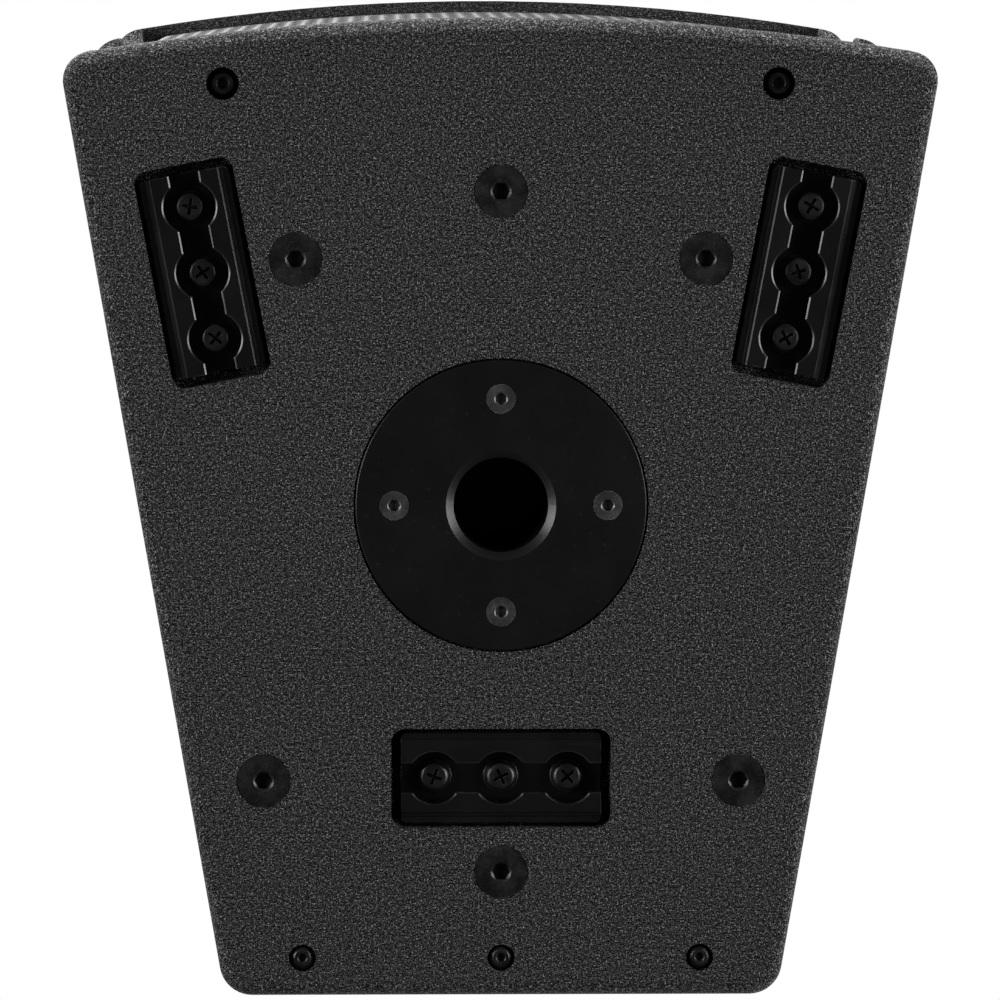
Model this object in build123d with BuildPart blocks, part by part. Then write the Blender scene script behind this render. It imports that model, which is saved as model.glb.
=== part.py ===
from build123d import *
import os
from math import atan, cos, degrees, pi, sin, sqrt

os.makedirs("parts", exist_ok=True)

# Self-powered two-way stage monitor cabinet, standing upright on its pole-cup end.
# X is its width, -Y its front, +Z up. The origin is the pole cup's mouth in the bottom face.

# ---------------------------------------------------------------- driving dimensions (mm)
cabinet_height = 568
end_thickness = 18
side_thickness = 13
middle_half_width = 137.8
side_slope = 0.1725
rear_face_y = 187.8
front_face_y = -184.4
front_arc_radius = 957
front_corner_radius = 11
rear_corner_radius = 12.5
edge_rounding = 5.5

baffle_front_y = -145
baffle_thickness = 18
woofer_height = 163
horn_height = 425
brace_height = 301
brace_thickness = 12
brace_rear_y = 100

cup_flange_radius = 55.25
cup_flange_thickness = 4.5
cup_bore_radius = 18
cup_bore_depth = 90
cup_wall = 5
cup_screw_circle = 40.5
cup_screw_radius = 3
cup_screw_head_radius = 5.6

track_length = 76.2
track_width = 35
track_sink = 2
track_recess = 13.5
track_pitch = 25.4
track_places = {
    "left": (-112.9, -88.2, 90 - 10.8),
    "right": (112.9, -88.2, 90 + 10.8),
    "rear": (0, 104.2, 0),
}

rigging_points = [(0, -119), (-77.6, -93.5), (77.6, -93.5), (-90.3, 105), (90.3, 105), (0, 140)]
grille_screw_points = [(-105, -159.7), (105, -159.7)]
rear_screw_points = [(-75.7, 173), (0, 173), (75.7, 173)]
rigging_head_radius = 10
grille_screw_well = (6.2, 8)
rear_screw_well = (5.2, 4)
end_screw_radius = 2.5

tray_front_y = 160
tray_thickness = 2
tray_rear_y = 184
tray_half_width = 92

handle_y = 45
handle_height = 380

# ---------------------------------------------------------------- shared geometry
side_angle = atan(side_slope)
front_arc_centre_y = front_face_y + front_arc_radius
mid_height = Plane.XY.offset(cabinet_height / 2)
inner_bottom = end_thickness
inner_top = cabinet_height - end_thickness
inner_height = inner_top - inner_bottom


def half_width(y, inset=0.0):
    """Half the width at depth y, to a line set in from the outer side face."""
    return middle_half_width - side_slope * y - inset / cos(side_angle)


def front_corner(side_inset=0.0, front_inset=0.0):
    """Where a line set in from the side face meets an arc set in from the front arc."""
    radius = front_arc_radius - front_inset
    reach = middle_half_width - side_inset / cos(side_angle)
    linear = reach * side_slope + front_arc_centre_y
    square = 1 + side_slope**2
    constant = reach**2 + front_arc_centre_y**2 - radius**2
    y = (linear - sqrt(linear**2 - square * constant)) / square
    return reach - side_slope * y, y


def cabinet_outline():
    """The cabinet's plan: a trapezoid with an arc for its front and rounded corners."""
    front_x, front_y = front_corner()
    rear_x = half_width(rear_face_y)
    with BuildSketch() as outline:
        with BuildLine():
            ThreePointArc((-front_x, front_y), (0, front_face_y), (front_x, front_y))
            Polyline(
                (front_x, front_y),
                (rear_x, rear_face_y),
                (-rear_x, rear_face_y),
                (-front_x, front_y),
            )
        make_face()
        corners = outline.vertices().group_by(Axis.Y)
        fillet(corners[-1], rear_corner_radius)
        fillet(outline.vertices().group_by(Axis.Y)[0], front_corner_radius)
    return outline.sketch


def side_strip(nose_setback, outer_rounding, inner_rounding):
    """Plan of the right side board, with its front end set back and rounded."""
    outer_front = front_corner(0, nose_setback)
    inner_front = front_corner(side_thickness, nose_setback)
    with BuildSketch() as strip:
        with BuildLine():
            Polyline(
                outer_front,
                (half_width(rear_face_y), rear_face_y),
                (half_width(rear_face_y, side_thickness), rear_face_y),
                inner_front,
                close=True,
            )
        make_face()
        front_ends = strip.vertices().sort_by(Axis.Y)[:2].sort_by(Axis.X)
        fillet(front_ends[-1], outer_rounding)
        fillet(strip.vertices().sort_by_distance((*inner_front, 0))[0], inner_rounding)
        rear_end = strip.vertices().sort_by_distance((half_width(rear_face_y), rear_face_y, 0))[0]
        fillet(rear_end, rear_corner_radius - 1)
    return strip.sketch


def turned(profile_points, origin, direction):
    """A solid of revolution from (radius, distance) points about an axis through origin."""
    across = Vector(1, 0, 0)
    with BuildPart() as solid:
        with BuildSketch(Plane(origin=origin, x_dir=across, z_dir=across.cross(Vector(direction)))):
            Polygon(*profile_points, align=None)
        revolve(axis=Axis(origin, direction))
    return solid.part


key_mouth_share = 0.15


def socket_screw(head_points, shank_radius, length, key_size, key_depth):
    """A hex-socket screw along +Z, its head's outer face at z = 0."""
    head_height = head_points[-1][1]
    profile = [(0, 0), *head_points, (shank_radius, head_height), (shank_radius, length), (0, length)]
    with BuildPart() as screw:
        add(turned(profile, (0, 0, 0), (0, 0, 1)))
        with BuildSketch(Plane.XY):
            RegularPolygon(radius=key_size / 2, side_count=6, major_radius=False)
        extrude(amount=key_depth, mode=Mode.SUBTRACT)
        with BuildSketch(Plane.XY):
            Circle(key_size / 2 + key_mouth_share * key_size)
        extrude(amount=key_mouth_share * key_size, taper=45, mode=Mode.SUBTRACT)
        chamfer(screw.edges().sort_by(Axis.Z)[-1], shank_radius * 0.2)
    return screw.part


def both_ends(solids):
    """The given bottom-end solids and their mirror images at the top end."""
    with BuildPart() as pair:
        add(solids)
        mirror(about=mid_height)
    return pair.part


def save(shape, name):
    """Label a finished piece and write its STEP file."""
    shape.label = name
    export_step(shape, f"parts/{name}.step")


# ---------------------------------------------------------------- end boards
track_recess_length = 83.5
track_recess_width = 38
track_recess_corner = 5
track_stud_hole = 3.4
rigging_mouth_radius = rigging_head_radius + 0.25
rigging_mouth_depth = 0.6
rigging_insert_radius = 7
rigging_hole_radius = rigging_insert_radius + 0.1
end_screw_hole = end_screw_radius + 0.2
hole_clearance = 0.1

with BuildPart() as end_board:
    with BuildSketch(Plane.XY):
        add(cabinet_outline())
    extrude(amount=end_thickness)
    fillet(end_board.faces().sort_by(Axis.Z)[0].edges(), edge_rounding)
    for place_x, place_y, angle in track_places.values():
        with BuildSketch(Plane.XY):
            with Locations(Location((place_x, place_y, 0), (0, 0, angle))):
                RectangleRounded(track_recess_length, track_recess_width, track_recess_corner)
        extrude(amount=track_recess, mode=Mode.SUBTRACT)
        with BuildSketch(Plane.XY):
            with Locations(Location((place_x, place_y, 0), (0, 0, angle))):
                with GridLocations(track_pitch, 1, 3, 1):
                    Circle(track_stud_hole)
        extrude(amount=end_thickness, mode=Mode.SUBTRACT)
    with BuildSketch(Plane.XY):
        with Locations(*rigging_points):
            Circle(rigging_mouth_radius)
    extrude(amount=rigging_mouth_depth, mode=Mode.SUBTRACT)
    with BuildSketch(Plane.XY.offset(rigging_mouth_depth)):
        with Locations(*rigging_points):
            Circle(rigging_mouth_radius)
    extrude(amount=rigging_mouth_radius - rigging_hole_radius, taper=45, mode=Mode.SUBTRACT)
    with BuildSketch(Plane.XY):
        with Locations(*rigging_points):
            Circle(rigging_hole_radius)
    extrude(amount=end_thickness, mode=Mode.SUBTRACT)
    with BuildSketch(Plane.XY):
        with Locations(*grille_screw_points):
            Circle(grille_screw_well[0])
    extrude(amount=grille_screw_well[1], mode=Mode.SUBTRACT)
    with BuildSketch(Plane.XY):
        with Locations(*rear_screw_points):
            Circle(rear_screw_well[0])
    extrude(amount=rear_screw_well[1], mode=Mode.SUBTRACT)
    with BuildSketch(Plane.XY):
        with Locations(*grille_screw_points, *rear_screw_points):
            Circle(end_screw_hole)
    extrude(amount=end_thickness, mode=Mode.SUBTRACT)

with BuildPart() as bottom_panel:
    add(end_board.part)
    with BuildSketch(Plane.XY):
        Circle(cup_flange_radius + 0.75)
    extrude(amount=cup_flange_thickness, mode=Mode.SUBTRACT)
    with BuildSketch(Plane.XY):
        Circle(cup_bore_radius + cup_wall + 0.6)
        with PolarLocations(cup_screw_circle, 4):
            Circle(cup_screw_radius + hole_clearance)
    extrude(amount=end_thickness, mode=Mode.SUBTRACT)
save(bottom_panel.part, "bottom_panel")

with BuildPart() as top_panel:
    mirror(end_board.part, about=mid_height)
save(top_panel.part, "top_panel")

# ---------------------------------------------------------------- side boards
nose_setback = 8
nose_rounding = 5.5
middle_rib = (0.50 * cabinet_height, 0.545 * cabinet_height)
end_rib = 16
rib_ramp = 26

with BuildPart() as full_strip:
    with BuildSketch(Plane.XY.offset(inner_bottom)):
        add(side_strip(0, front_corner_radius, 1.5))
    extrude(amount=inner_height)

with BuildPart() as rib_mask:
    rib_front = front_face_y - 5
    rib_back = front_face_y + nose_setback + 30
    with BuildSketch(Plane.YZ):
        for low, high in (
            (inner_bottom - 40, inner_bottom + end_rib),
            middle_rib,
            (inner_top - end_rib, inner_top + 40),
        ):
            with BuildLine():
                Polyline(
                    (rib_back, high + rib_ramp),
                    (rib_back, low - rib_ramp),
                    (front_face_y + nose_setback + 14, low - rib_ramp),
                )
                Spline(
                    (front_face_y + nose_setback + 14, low - rib_ramp),
                    (front_face_y + 11, low),
                    tangents=[(-0.2, 1), (-1, 0.35)],
                )
                Polyline(
                    (front_face_y + 11, low),
                    (rib_front, low + 3),
                    (rib_front, high - 3),
                    (front_face_y + 11, high),
                )
                Spline(
                    (front_face_y + 11, high),
                    (front_face_y + nose_setback + 14, high + rib_ramp),
                    tangents=[(1, 0.35), (0.2, 1)],
                )
                Line((front_face_y + nose_setback + 14, high + rib_ramp), (rib_back, high + rib_ramp))
            make_face()
    extrude(amount=200)

nose_ribs = full_strip.part & rib_mask.part

outward = Vector(cos(side_angle), sin(side_angle), 0)
rearward = Vector(-sin(side_angle), cos(side_angle), 0)
handle_face = Plane(
    origin=(half_width(handle_y), handle_y, handle_height), x_dir=rearward, z_dir=outward
)
handle_flange = (178, 116, 3)
handle_mouth = (150, 88)
handle_depth = 52
handle_wall = 2.5
handle_screw_spacing = (164, 102)

with BuildPart() as right_side_panel:
    with BuildSketch(Plane.XY.offset(inner_bottom)):
        add(side_strip(nose_setback, nose_rounding, nose_rounding))
    extrude(amount=inner_height)
    add(nose_ribs)
    with BuildSketch(handle_face):
        RectangleRounded(handle_flange[0] + 0.6, handle_flange[1] + 0.6, 14)
    extrude(amount=-handle_flange[2], mode=Mode.SUBTRACT)
    with BuildSketch(handle_face):
        RectangleRounded(handle_mouth[0] + 0.6, handle_mouth[1] + 0.6, 12)
        with GridLocations(*handle_screw_spacing, 2, 2):
            Circle(1.9)
    extrude(amount=-side_thickness - 2, mode=Mode.SUBTRACT)
save(right_side_panel.part, "right_side_panel")

with BuildPart() as left_side_panel:
    mirror(right_side_panel.part, about=Plane.YZ)
save(left_side_panel.part, "left_side_panel")

# ---------------------------------------------------------------- handles
handle_bar_radius = 11
handle_bar_depth = 13

with BuildPart() as right_handle:
    with BuildSketch(handle_face):
        RectangleRounded(handle_flange[0], handle_flange[1], 13.7)
    extrude(amount=-handle_flange[2])
    with BuildSketch(handle_face):
        RectangleRounded(*handle_mouth, 11.7)
    extrude(amount=-handle_depth)
    fillet(right_handle.faces().sort_by(Axis(handle_face.origin, -outward))[-1].edges(), 9)
    with BuildSketch(handle_face):
        RectangleRounded(handle_mouth[0] - 2 * handle_wall, handle_mouth[1] - 2 * handle_wall, 9.2)
    extrude(amount=-handle_depth + handle_wall, mode=Mode.SUBTRACT)
    with BuildSketch(
        Plane(
            origin=handle_face.origin - outward * handle_bar_depth - rearward * handle_mouth[0] / 2,
            x_dir=outward,
            z_dir=rearward,
        )
    ):
        Circle(handle_bar_radius)
    extrude(amount=handle_mouth[0] - 1)
    with BuildSketch(handle_face):
        with GridLocations(*handle_screw_spacing, 2, 2):
            Circle(2.2)
    extrude(amount=-handle_flange[2], mode=Mode.SUBTRACT)
save(right_handle.part, "handle_cup_right")

with BuildPart() as left_handle:
    mirror(right_handle.part, about=Plane.YZ)
save(left_handle.part, "handle_cup_left")

handle_screw = socket_screw([(3.6, 0), (4.1, 1.2), (4.1, 1.8)], 1.75, 14, 2.5, 1.2)
with BuildPart() as handle_screws:
    with Locations(
        Plane(origin=handle_face.origin + outward * 1.8, x_dir=rearward, z_dir=-outward)
    ):
        with GridLocations(*handle_screw_spacing, 2, 2):
            add(handle_screw)
    mirror(about=Plane.YZ)
save(handle_screws.part, "handle_screws")

# ---------------------------------------------------------------- baffle, brace and battens
woofer_axis = (0, baffle_front_y, woofer_height)
baffle_plane = Plane(origin=(0, baffle_front_y, 0), x_dir=(1, 0, 0), z_dir=(0, -1, 0))
woofer_cutout_radius = 117
woofer_frame_radius = 130
woofer_screw_radius = 124
woofer_flange = 5
horn_flange = (280, 226, 5)
horn_mouth = (252, 198)
horn_wall = 4
port_radius = 20
port_wall = 3
port_length = 40
port_x = 118.6
port_heights = {"lower": woofer_height - 114, "upper": woofer_height + 114}

with BuildPart() as baffle:
    with BuildSketch(Plane.XY.offset(inner_bottom)):
        baffle_rear_y = baffle_front_y + baffle_thickness
        front_half = half_width(baffle_front_y, side_thickness)
        rear_half = half_width(baffle_rear_y, side_thickness)
        Polygon(
            (-front_half, baffle_front_y),
            (front_half, baffle_front_y),
            (rear_half, baffle_rear_y),
            (-rear_half, baffle_rear_y),
            align=None,
        )
    extrude(amount=inner_height)
    with BuildSketch(baffle_plane):
        with Locations((0, woofer_height)):
            Circle(woofer_frame_radius + 0.5)
        with Locations((0, horn_height)):
            RectangleRounded(horn_flange[0] + 1, horn_flange[1] + 1, 12)
    extrude(amount=-woofer_flange, mode=Mode.SUBTRACT)
    with BuildSketch(baffle_plane):
        with Locations((0, woofer_height)):
            Circle(woofer_cutout_radius)
            with PolarLocations(woofer_screw_radius, 8, start_angle=22.5):
                Circle(2.55)
        with Locations((0, horn_height)):
            RectangleRounded(horn_mouth[0] + 2 * horn_wall + 2, horn_mouth[1] + 2 * horn_wall + 2, 21)
            with GridLocations(horn_flange[0] - 12, horn_flange[1] - 12, 2, 2):
                Circle(2.55)
        for port_height in port_heights.values():
            with Locations((-port_x, port_height), (port_x, port_height)):
                Circle(port_radius + port_wall + 0.1)
        with Locations((0, inner_bottom), (0, inner_top)):
            Rectangle(28, 34)
    extrude(amount=-baffle_thickness, mode=Mode.SUBTRACT)
save(baffle.part, "baffle")

with BuildPart() as window_brace:
    with BuildSketch(Plane.XY.offset(brace_height)):
        front_half = half_width(baffle_rear_y, side_thickness)
        rear_half = half_width(brace_rear_y, side_thickness)
        Polygon(
            (-front_half, baffle_rear_y),
            (front_half, baffle_rear_y),
            (rear_half, brace_rear_y),
            (-rear_half, brace_rear_y),
            align=None,
        )
    extrude(amount=brace_thickness)
    with BuildSketch(Plane.XY.offset(brace_height)):
        with Locations((0, baffle_rear_y + 62), (0, brace_rear_y - 60)):
            RectangleRounded(176, 76, 20)
    extrude(amount=brace_thickness, mode=Mode.SUBTRACT)
save(window_brace.part, "window_brace")

batten = 16
with BuildPart() as rear_battens:
    batten_front_y = tray_front_y - 2 - batten
    batten_rear_y = tray_front_y - 2
    with BuildSketch(Plane.XY.offset(inner_bottom + 20)):
        Polygon(
            (half_width(batten_front_y, side_thickness), batten_front_y),
            (half_width(batten_rear_y, side_thickness), batten_rear_y),
            (half_width(batten_rear_y, side_thickness) - batten, batten_rear_y),
            (half_width(batten_front_y, side_thickness) - batten, batten_front_y),
            align=None,
        )
    extrude(amount=inner_height - 40)
    mirror(about=Plane.YZ)
save(rear_battens.part, "rear_battens")

# ---------------------------------------------------------------- pole cup
cup_tube_radius = cup_bore_radius + cup_wall
cup_lip = 2.9
cup_rim_chamfer = 0.4
cup_countersink_radius = cup_screw_head_radius + 0.2
cup_countersink_mouth = 0.4

with BuildPart() as pole_cup:
    with BuildSketch(Plane.XY):
        Circle(cup_flange_radius)
    extrude(amount=cup_flange_thickness)
    chamfer(pole_cup.faces().sort_by(Axis.Z)[0].edges(), cup_rim_chamfer)
    with BuildSketch(Plane.XY):
        Circle(cup_tube_radius)
    extrude(amount=cup_bore_depth + cup_wall)
    chamfer(pole_cup.edges().sort_by(Axis.Z)[-1], 2)
    with BuildSketch(Plane.XY):
        Circle(cup_bore_radius)
    extrude(amount=cup_bore_depth, mode=Mode.SUBTRACT)
    bore_mouth = pole_cup.faces().sort_by(Axis.Z)[0].edges().filter_by(GeomType.CIRCLE)
    chamfer(bore_mouth.sort_by(SortBy.RADIUS)[0], cup_lip)
    with BuildSketch(Plane.XY):
        with PolarLocations(cup_screw_circle, 4):
            Circle(cup_countersink_radius)
    extrude(amount=cup_countersink_mouth, mode=Mode.SUBTRACT)
    with BuildSketch(Plane.XY.offset(cup_countersink_mouth)):
        with PolarLocations(cup_screw_circle, 4):
            Circle(cup_countersink_radius)
    countersink_depth = cup_countersink_radius - cup_screw_radius - 0.3
    extrude(amount=countersink_depth, taper=45, mode=Mode.SUBTRACT)
    with BuildSketch(Plane.XY):
        with PolarLocations(cup_screw_circle, 4):
            Circle(cup_screw_radius + hole_clearance)
    extrude(amount=cup_flange_thickness, mode=Mode.SUBTRACT)
save(pole_cup.part, "pole_cup")

cup_screw_head = [
    (cup_screw_head_radius, 0),
    (cup_screw_head_radius, 0.2),
    (cup_screw_radius, cup_screw_head_radius - cup_screw_radius + 0.2),
]
cup_screw = socket_screw(cup_screw_head, cup_screw_radius, 18, 4, 2.2)
with BuildPart() as pole_cup_screws:
    with Locations((0, 0, 0.1)):
        with PolarLocations(cup_screw_circle, 4):
            add(cup_screw)
save(pole_cup_screws.part, "pole_cup_screws")

# ---------------------------------------------------------------- fly tracks
track_slot = 11.3
track_undercut = 20.6
track_floor = 2.5
track_lip = 3.2
track_base_z = track_recess
track_top_z = track_sink
band_width = 2.4
band_slope = 2.2
band_drop = 1.15
band_edge = 0.6
band_step = 0.6
band_step_drop = 0.48
track_corner = 3
track_pocket_radius = 10
slot_bevel_width = 0.55
slot_bevel_depth = 0.32
track_screw_hole = 3.2
plate_thickness = 4
plate_size = (70, 40)
plate_corner = 4

with BuildPart() as fly_track:
    with BuildSketch(Plane.YZ.offset(-track_length / 2)):
        half = track_width / 2
        Polygon(
            (-half, track_base_z),
            (half, track_base_z),
            (half, track_top_z + band_drop + band_edge),
            (half - band_edge, track_top_z + band_drop),
            (half - band_width, track_top_z + band_drop),
            (half - band_width - band_step, track_top_z + band_drop - band_step_drop),
            (half - band_width - band_slope + band_step, track_top_z + band_step_drop),
            (half - band_width - band_slope, track_top_z),
            (-half + band_width + band_slope, track_top_z),
            (-half + band_width + band_slope - band_step, track_top_z + band_step_drop),
            (-half + band_width + band_step, track_top_z + band_drop - band_step_drop),
            (-half + band_width, track_top_z + band_drop),
            (-half + band_edge, track_top_z + band_drop),
            (-half, track_top_z + band_drop + band_edge),
            align=None,
        )
        with Locations((0, (track_top_z + track_base_z - track_floor) / 2)):
            Rectangle(track_slot, track_base_z - track_floor - track_top_z, mode=Mode.SUBTRACT)
        undercut_top = track_top_z + track_lip
        with Locations((0, (undercut_top + track_base_z - track_floor) / 2)):
            Rectangle(track_undercut, track_base_z - track_floor - undercut_top, mode=Mode.SUBTRACT)
    extrude(amount=track_length)
    fillet(fly_track.edges().filter_by(Axis.Z).group_by(Axis.Y)[0], track_corner)
    fillet(fly_track.edges().filter_by(Axis.Z).group_by(Axis.Y)[-1], track_corner)
    with BuildSketch(Plane.XY.offset(track_top_z - 1)):
        with GridLocations(track_pitch, 1, 3, 1):
            Circle(track_pocket_radius)
    extrude(amount=track_lip + 1, mode=Mode.SUBTRACT)
    with BuildSketch(Plane.XY.offset(track_top_z)):
        Rectangle(track_length + 4, track_slot + 2 * slot_bevel_width)
        with GridLocations(track_pitch, 1, 3, 1):
            Circle(track_pocket_radius + slot_bevel_width)
    bevel_taper = degrees(atan(slot_bevel_width / slot_bevel_depth))
    extrude(amount=slot_bevel_depth, taper=bevel_taper, mode=Mode.SUBTRACT)
    with BuildSketch(Plane.XY.offset(track_base_z - track_floor)):
        with GridLocations(track_pitch, 1, 3, 1):
            Circle(track_screw_hole)
    extrude(amount=track_floor, mode=Mode.SUBTRACT)

for side, (place_x, place_y, angle) in track_places.items():
    with BuildPart() as bottom_track:
        with Locations(Location((place_x, place_y, 0), (0, 0, angle))):
            add(fly_track.part)
    save(bottom_track.part, f"fly_track_bottom_{side}")
    with BuildPart() as top_track:
        mirror(bottom_track.part, about=mid_height)
    save(top_track.part, f"fly_track_top_{side}")

track_screw_head = 3.8
track_screw_head_radius = 5.6
track_screw_head_round = 1.8
track_screw_radius = 3
track_screw_length = 12.5
washer_radius = 6.7
washer_thickness = 1
washer_bevel = 0.4
cross_length = 6.4
cross_width = 1.3
cross_depth = 2.4
cross_taper = 12
with BuildPart() as track_screw:
    washer_face = track_base_z - track_floor - washer_thickness
    head_face = washer_face - track_screw_head
    with BuildSketch(Plane.XY.offset(washer_face)):
        Circle(washer_radius)
    extrude(amount=washer_thickness)
    chamfer(track_screw.edges().sort_by(Axis.Z)[0], washer_bevel)
    with BuildSketch(Plane.XY.offset(head_face)):
        Circle(track_screw_head_radius)
    extrude(amount=track_screw_head)
    fillet(track_screw.edges().sort_by(Axis.Z)[0], track_screw_head_round)
    with BuildSketch(Plane.XY.offset(head_face)):
        Rectangle(cross_width, cross_length)
        Rectangle(cross_length, cross_width)
    extrude(amount=cross_depth, taper=cross_taper, mode=Mode.SUBTRACT)
    with BuildSketch(Plane.XY.offset(washer_face + washer_thickness)):
        Circle(track_screw_radius)
    extrude(amount=track_screw_length)
    chamfer(track_screw.edges().sort_by(Axis.Z)[-1], 0.2 * track_screw_radius)

with BuildPart() as backing_plate:
    with BuildSketch(Plane.XY.offset(end_thickness)):
        RectangleRounded(*plate_size, plate_corner)
        with GridLocations(track_pitch, 1, 3, 1):
            Circle(track_screw_radius + 0.05, mode=Mode.SUBTRACT)
    extrude(amount=plate_thickness)

screw_turns = (20, 65, 50)
with BuildPart() as bottom_track_screws:
    for place_x, place_y, angle in track_places.values():
        with Locations(Location((place_x, place_y, 0), (0, 0, angle))):
            for step, turn in zip((-1, 0, 1), screw_turns):
                with Locations(Location((step * track_pitch, 0, 0), (0, 0, turn))):
                    add(track_screw.part)
save(both_ends(bottom_track_screws.part), "fly_track_screws")

with BuildPart() as bottom_plates:
    for place_x, place_y, angle in track_places.values():
        with Locations(Location((place_x, place_y, 0), (0, 0, angle))):
            add(backing_plate.part)
save(both_ends(bottom_plates.part), "track_backing_plates")

# ---------------------------------------------------------------- rigging points
rigging_screw_radius = 5
rigging_head = [
    (rigging_head_radius, 0),
    (rigging_head_radius, 0.3),
    (rigging_screw_radius, rigging_head_radius - rigging_screw_radius + 0.3),
]
rigging_screw = socket_screw(rigging_head, rigging_screw_radius, 30, 6, 4)
with BuildPart() as bottom_rigging_screws:
    with Locations((0, 0, 0.25)):
        with Locations(*rigging_points):
            add(rigging_screw)
save(both_ends(bottom_rigging_screws.part), "rigging_screws")

insert_bore = rigging_screw_radius + 0.05
insert_flange_radius = 13
insert_flange_end = end_thickness + 4
insert_profile = [
    (insert_bore, 5.8),
    (rigging_insert_radius, 5.8),
    (rigging_insert_radius, end_thickness),
    (insert_flange_radius, end_thickness),
    (insert_flange_radius, insert_flange_end),
    (9, insert_flange_end),
    (9, insert_flange_end + 12),
    (insert_bore, insert_flange_end + 12),
]
with BuildPart() as bottom_rigging_inserts:
    with Locations(*rigging_points):
        add(turned(insert_profile, (0, 0, 0), (0, 0, 1)))
save(both_ends(bottom_rigging_inserts.part), "rigging_inserts")

# ---------------------------------------------------------------- grille
grille_thickness = 1.2
grille_lip_drop = 5
grille_half_width = 146
grille_end_gap = 1.5
grille_foam_thickness = 6
grille_bend = 4
nut_block = (20, 16, 11)
grille_low = inner_bottom + grille_end_gap
grille_high = inner_top - grille_end_gap


def grille_plan(front_inset, half_span, back_y):
    """Plan of a slab with the cabinet's arc for its front and a flat back."""
    front_y = front_arc_centre_y - sqrt((front_arc_radius - front_inset) ** 2 - half_span**2)
    with BuildSketch() as plan:
        with BuildLine():
            ThreePointArc(
                (-half_span, front_y), (0, front_face_y + front_inset), (half_span, front_y)
            )
            Polyline(
                (half_span, front_y), (half_span, back_y), (-half_span, back_y), (-half_span, front_y)
            )
        make_face()
    return plan.sketch


with BuildPart() as grille:
    with BuildSketch(Plane.XY.offset(grille_low)):
        add(grille_plan(grille_lip_drop, grille_half_width, baffle_front_y - 0.2))
    extrude(amount=grille_high - grille_low)
    fillet(grille.edges().filter_by(Axis.Z).group_by(Axis.Y)[0], grille_bend)
    offset(
        amount=-grille_thickness,
        openings=grille.faces().sort_by(Axis.Y)[-1],
        kind=Kind.INTERSECTION,
    )
    for low, height in ((grille_low, nut_block[2]), (grille_high, -nut_block[2])):
        with BuildSketch(Plane.XY.offset(low)):
            with Locations(*grille_screw_points):
                RectangleRounded(nut_block[0], nut_block[1], 2)
        extrude(amount=height)
    with BuildSketch(Plane.XY.offset(grille_low)):
        with Locations(*grille_screw_points):
            Circle(2.55)
    extrude(amount=grille_high - grille_low, mode=Mode.SUBTRACT)
save(grille.part, "grille")

foam_front = grille_lip_drop + grille_thickness + 0.1
with BuildPart() as grille_foam:
    foam_half = grille_half_width - grille_thickness - grille_bend
    with BuildSketch(Plane.XY.offset(grille_low + grille_thickness + 0.3)):
        foam_back = front_face_y + foam_front + 40
        add(grille_plan(foam_front, foam_half, foam_back))
        add(
            grille_plan(foam_front + grille_foam_thickness, foam_half, foam_back),
            mode=Mode.SUBTRACT,
        )
    extrude(amount=grille_high - grille_low - 2 * grille_thickness - 0.6)
    nut_clearance = 12
    with BuildSketch(Plane.XY):
        with Locations(*grille_screw_points):
            Rectangle(24, 20)
    extrude(amount=grille_low + grille_thickness + nut_clearance, mode=Mode.SUBTRACT)
    with BuildSketch(Plane.XY.offset(cabinet_height)):
        with Locations(*grille_screw_points):
            Rectangle(24, 20)
    extrude(amount=-(grille_low + grille_thickness + nut_clearance), mode=Mode.SUBTRACT)
save(grille_foam.part, "grille_foam")

grille_screw = socket_screw([(3.9, 0), (4.25, 0.4), (4.25, 5)], 2.5, 26, 4, 2.6)
with BuildPart() as bottom_grille_screws:
    with Locations((0, 0, 3)):
        with Locations(*grille_screw_points):
            add(grille_screw)
save(both_ends(bottom_grille_screws.part), "grille_screws")

rear_screw = socket_screw([(2.9, 0), (4.2, 0.7), (4.85, 2), (4.85, 3)], 2.5, 22, 3, 1.8)
with BuildPart() as bottom_rear_screws:
    with Locations((0, 0, 1)):
        with Locations(*rear_screw_points):
            add(rear_screw)
save(both_ends(bottom_rear_screws.part), "rear_module_screws")

# ---------------------------------------------------------------- woofer (profiles as radius, depth)
inward = (0, 1, 0)
surround_inner = 104
surround_outer = 117
basket_mouth = surround_inner + 9.2
spider_seat_depth = 49

with BuildPart() as woofer_basket:
    basket_profile = [
        (basket_mouth, 0),
        (woofer_frame_radius, 0),
        (woofer_frame_radius, woofer_flange),
        (116, woofer_flange),
        (78, 50),
        (66, 62),
        (66, 66),
        (30, 66),
        (30, 62),
        (60, 62),
        (60, 52),
        (70, 52),
        (basket_mouth, 3),
    ]
    add(turned(basket_profile, woofer_axis, inward))
    with BuildSketch(baffle_plane.offset(-8)):
        with Locations((0, woofer_height)):
            Circle(109)
            Circle(80, mode=Mode.SUBTRACT)
            with PolarLocations(95, 6, start_angle=30):
                Rectangle(60, 24, mode=Mode.SUBTRACT)
    extrude(amount=-36, mode=Mode.SUBTRACT)
    with BuildSketch(baffle_plane):
        with Locations((0, woofer_height)):
            with PolarLocations(woofer_screw_radius, 8, start_angle=22.5):
                Circle(2.7)
    extrude(amount=-woofer_flange, mode=Mode.SUBTRACT)
save(woofer_basket.part, "woofer_basket")

front_plate = turned([(27, 66), (62, 66), (62, 74), (27, 74)], woofer_axis, inward)
save(front_plate, "woofer_front_plate")
magnet = turned([(33, 74), (74, 74), (75, 75), (75, 93), (74, 94), (33, 94)], woofer_axis, inward)
save(magnet, "woofer_magnet")
yoke_profile = [(9, 64), (24.4, 64), (24.4, 94), (70, 94), (68, 102), (9, 102)]
save(turned(yoke_profile, woofer_axis, inward), "woofer_yoke")

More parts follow.
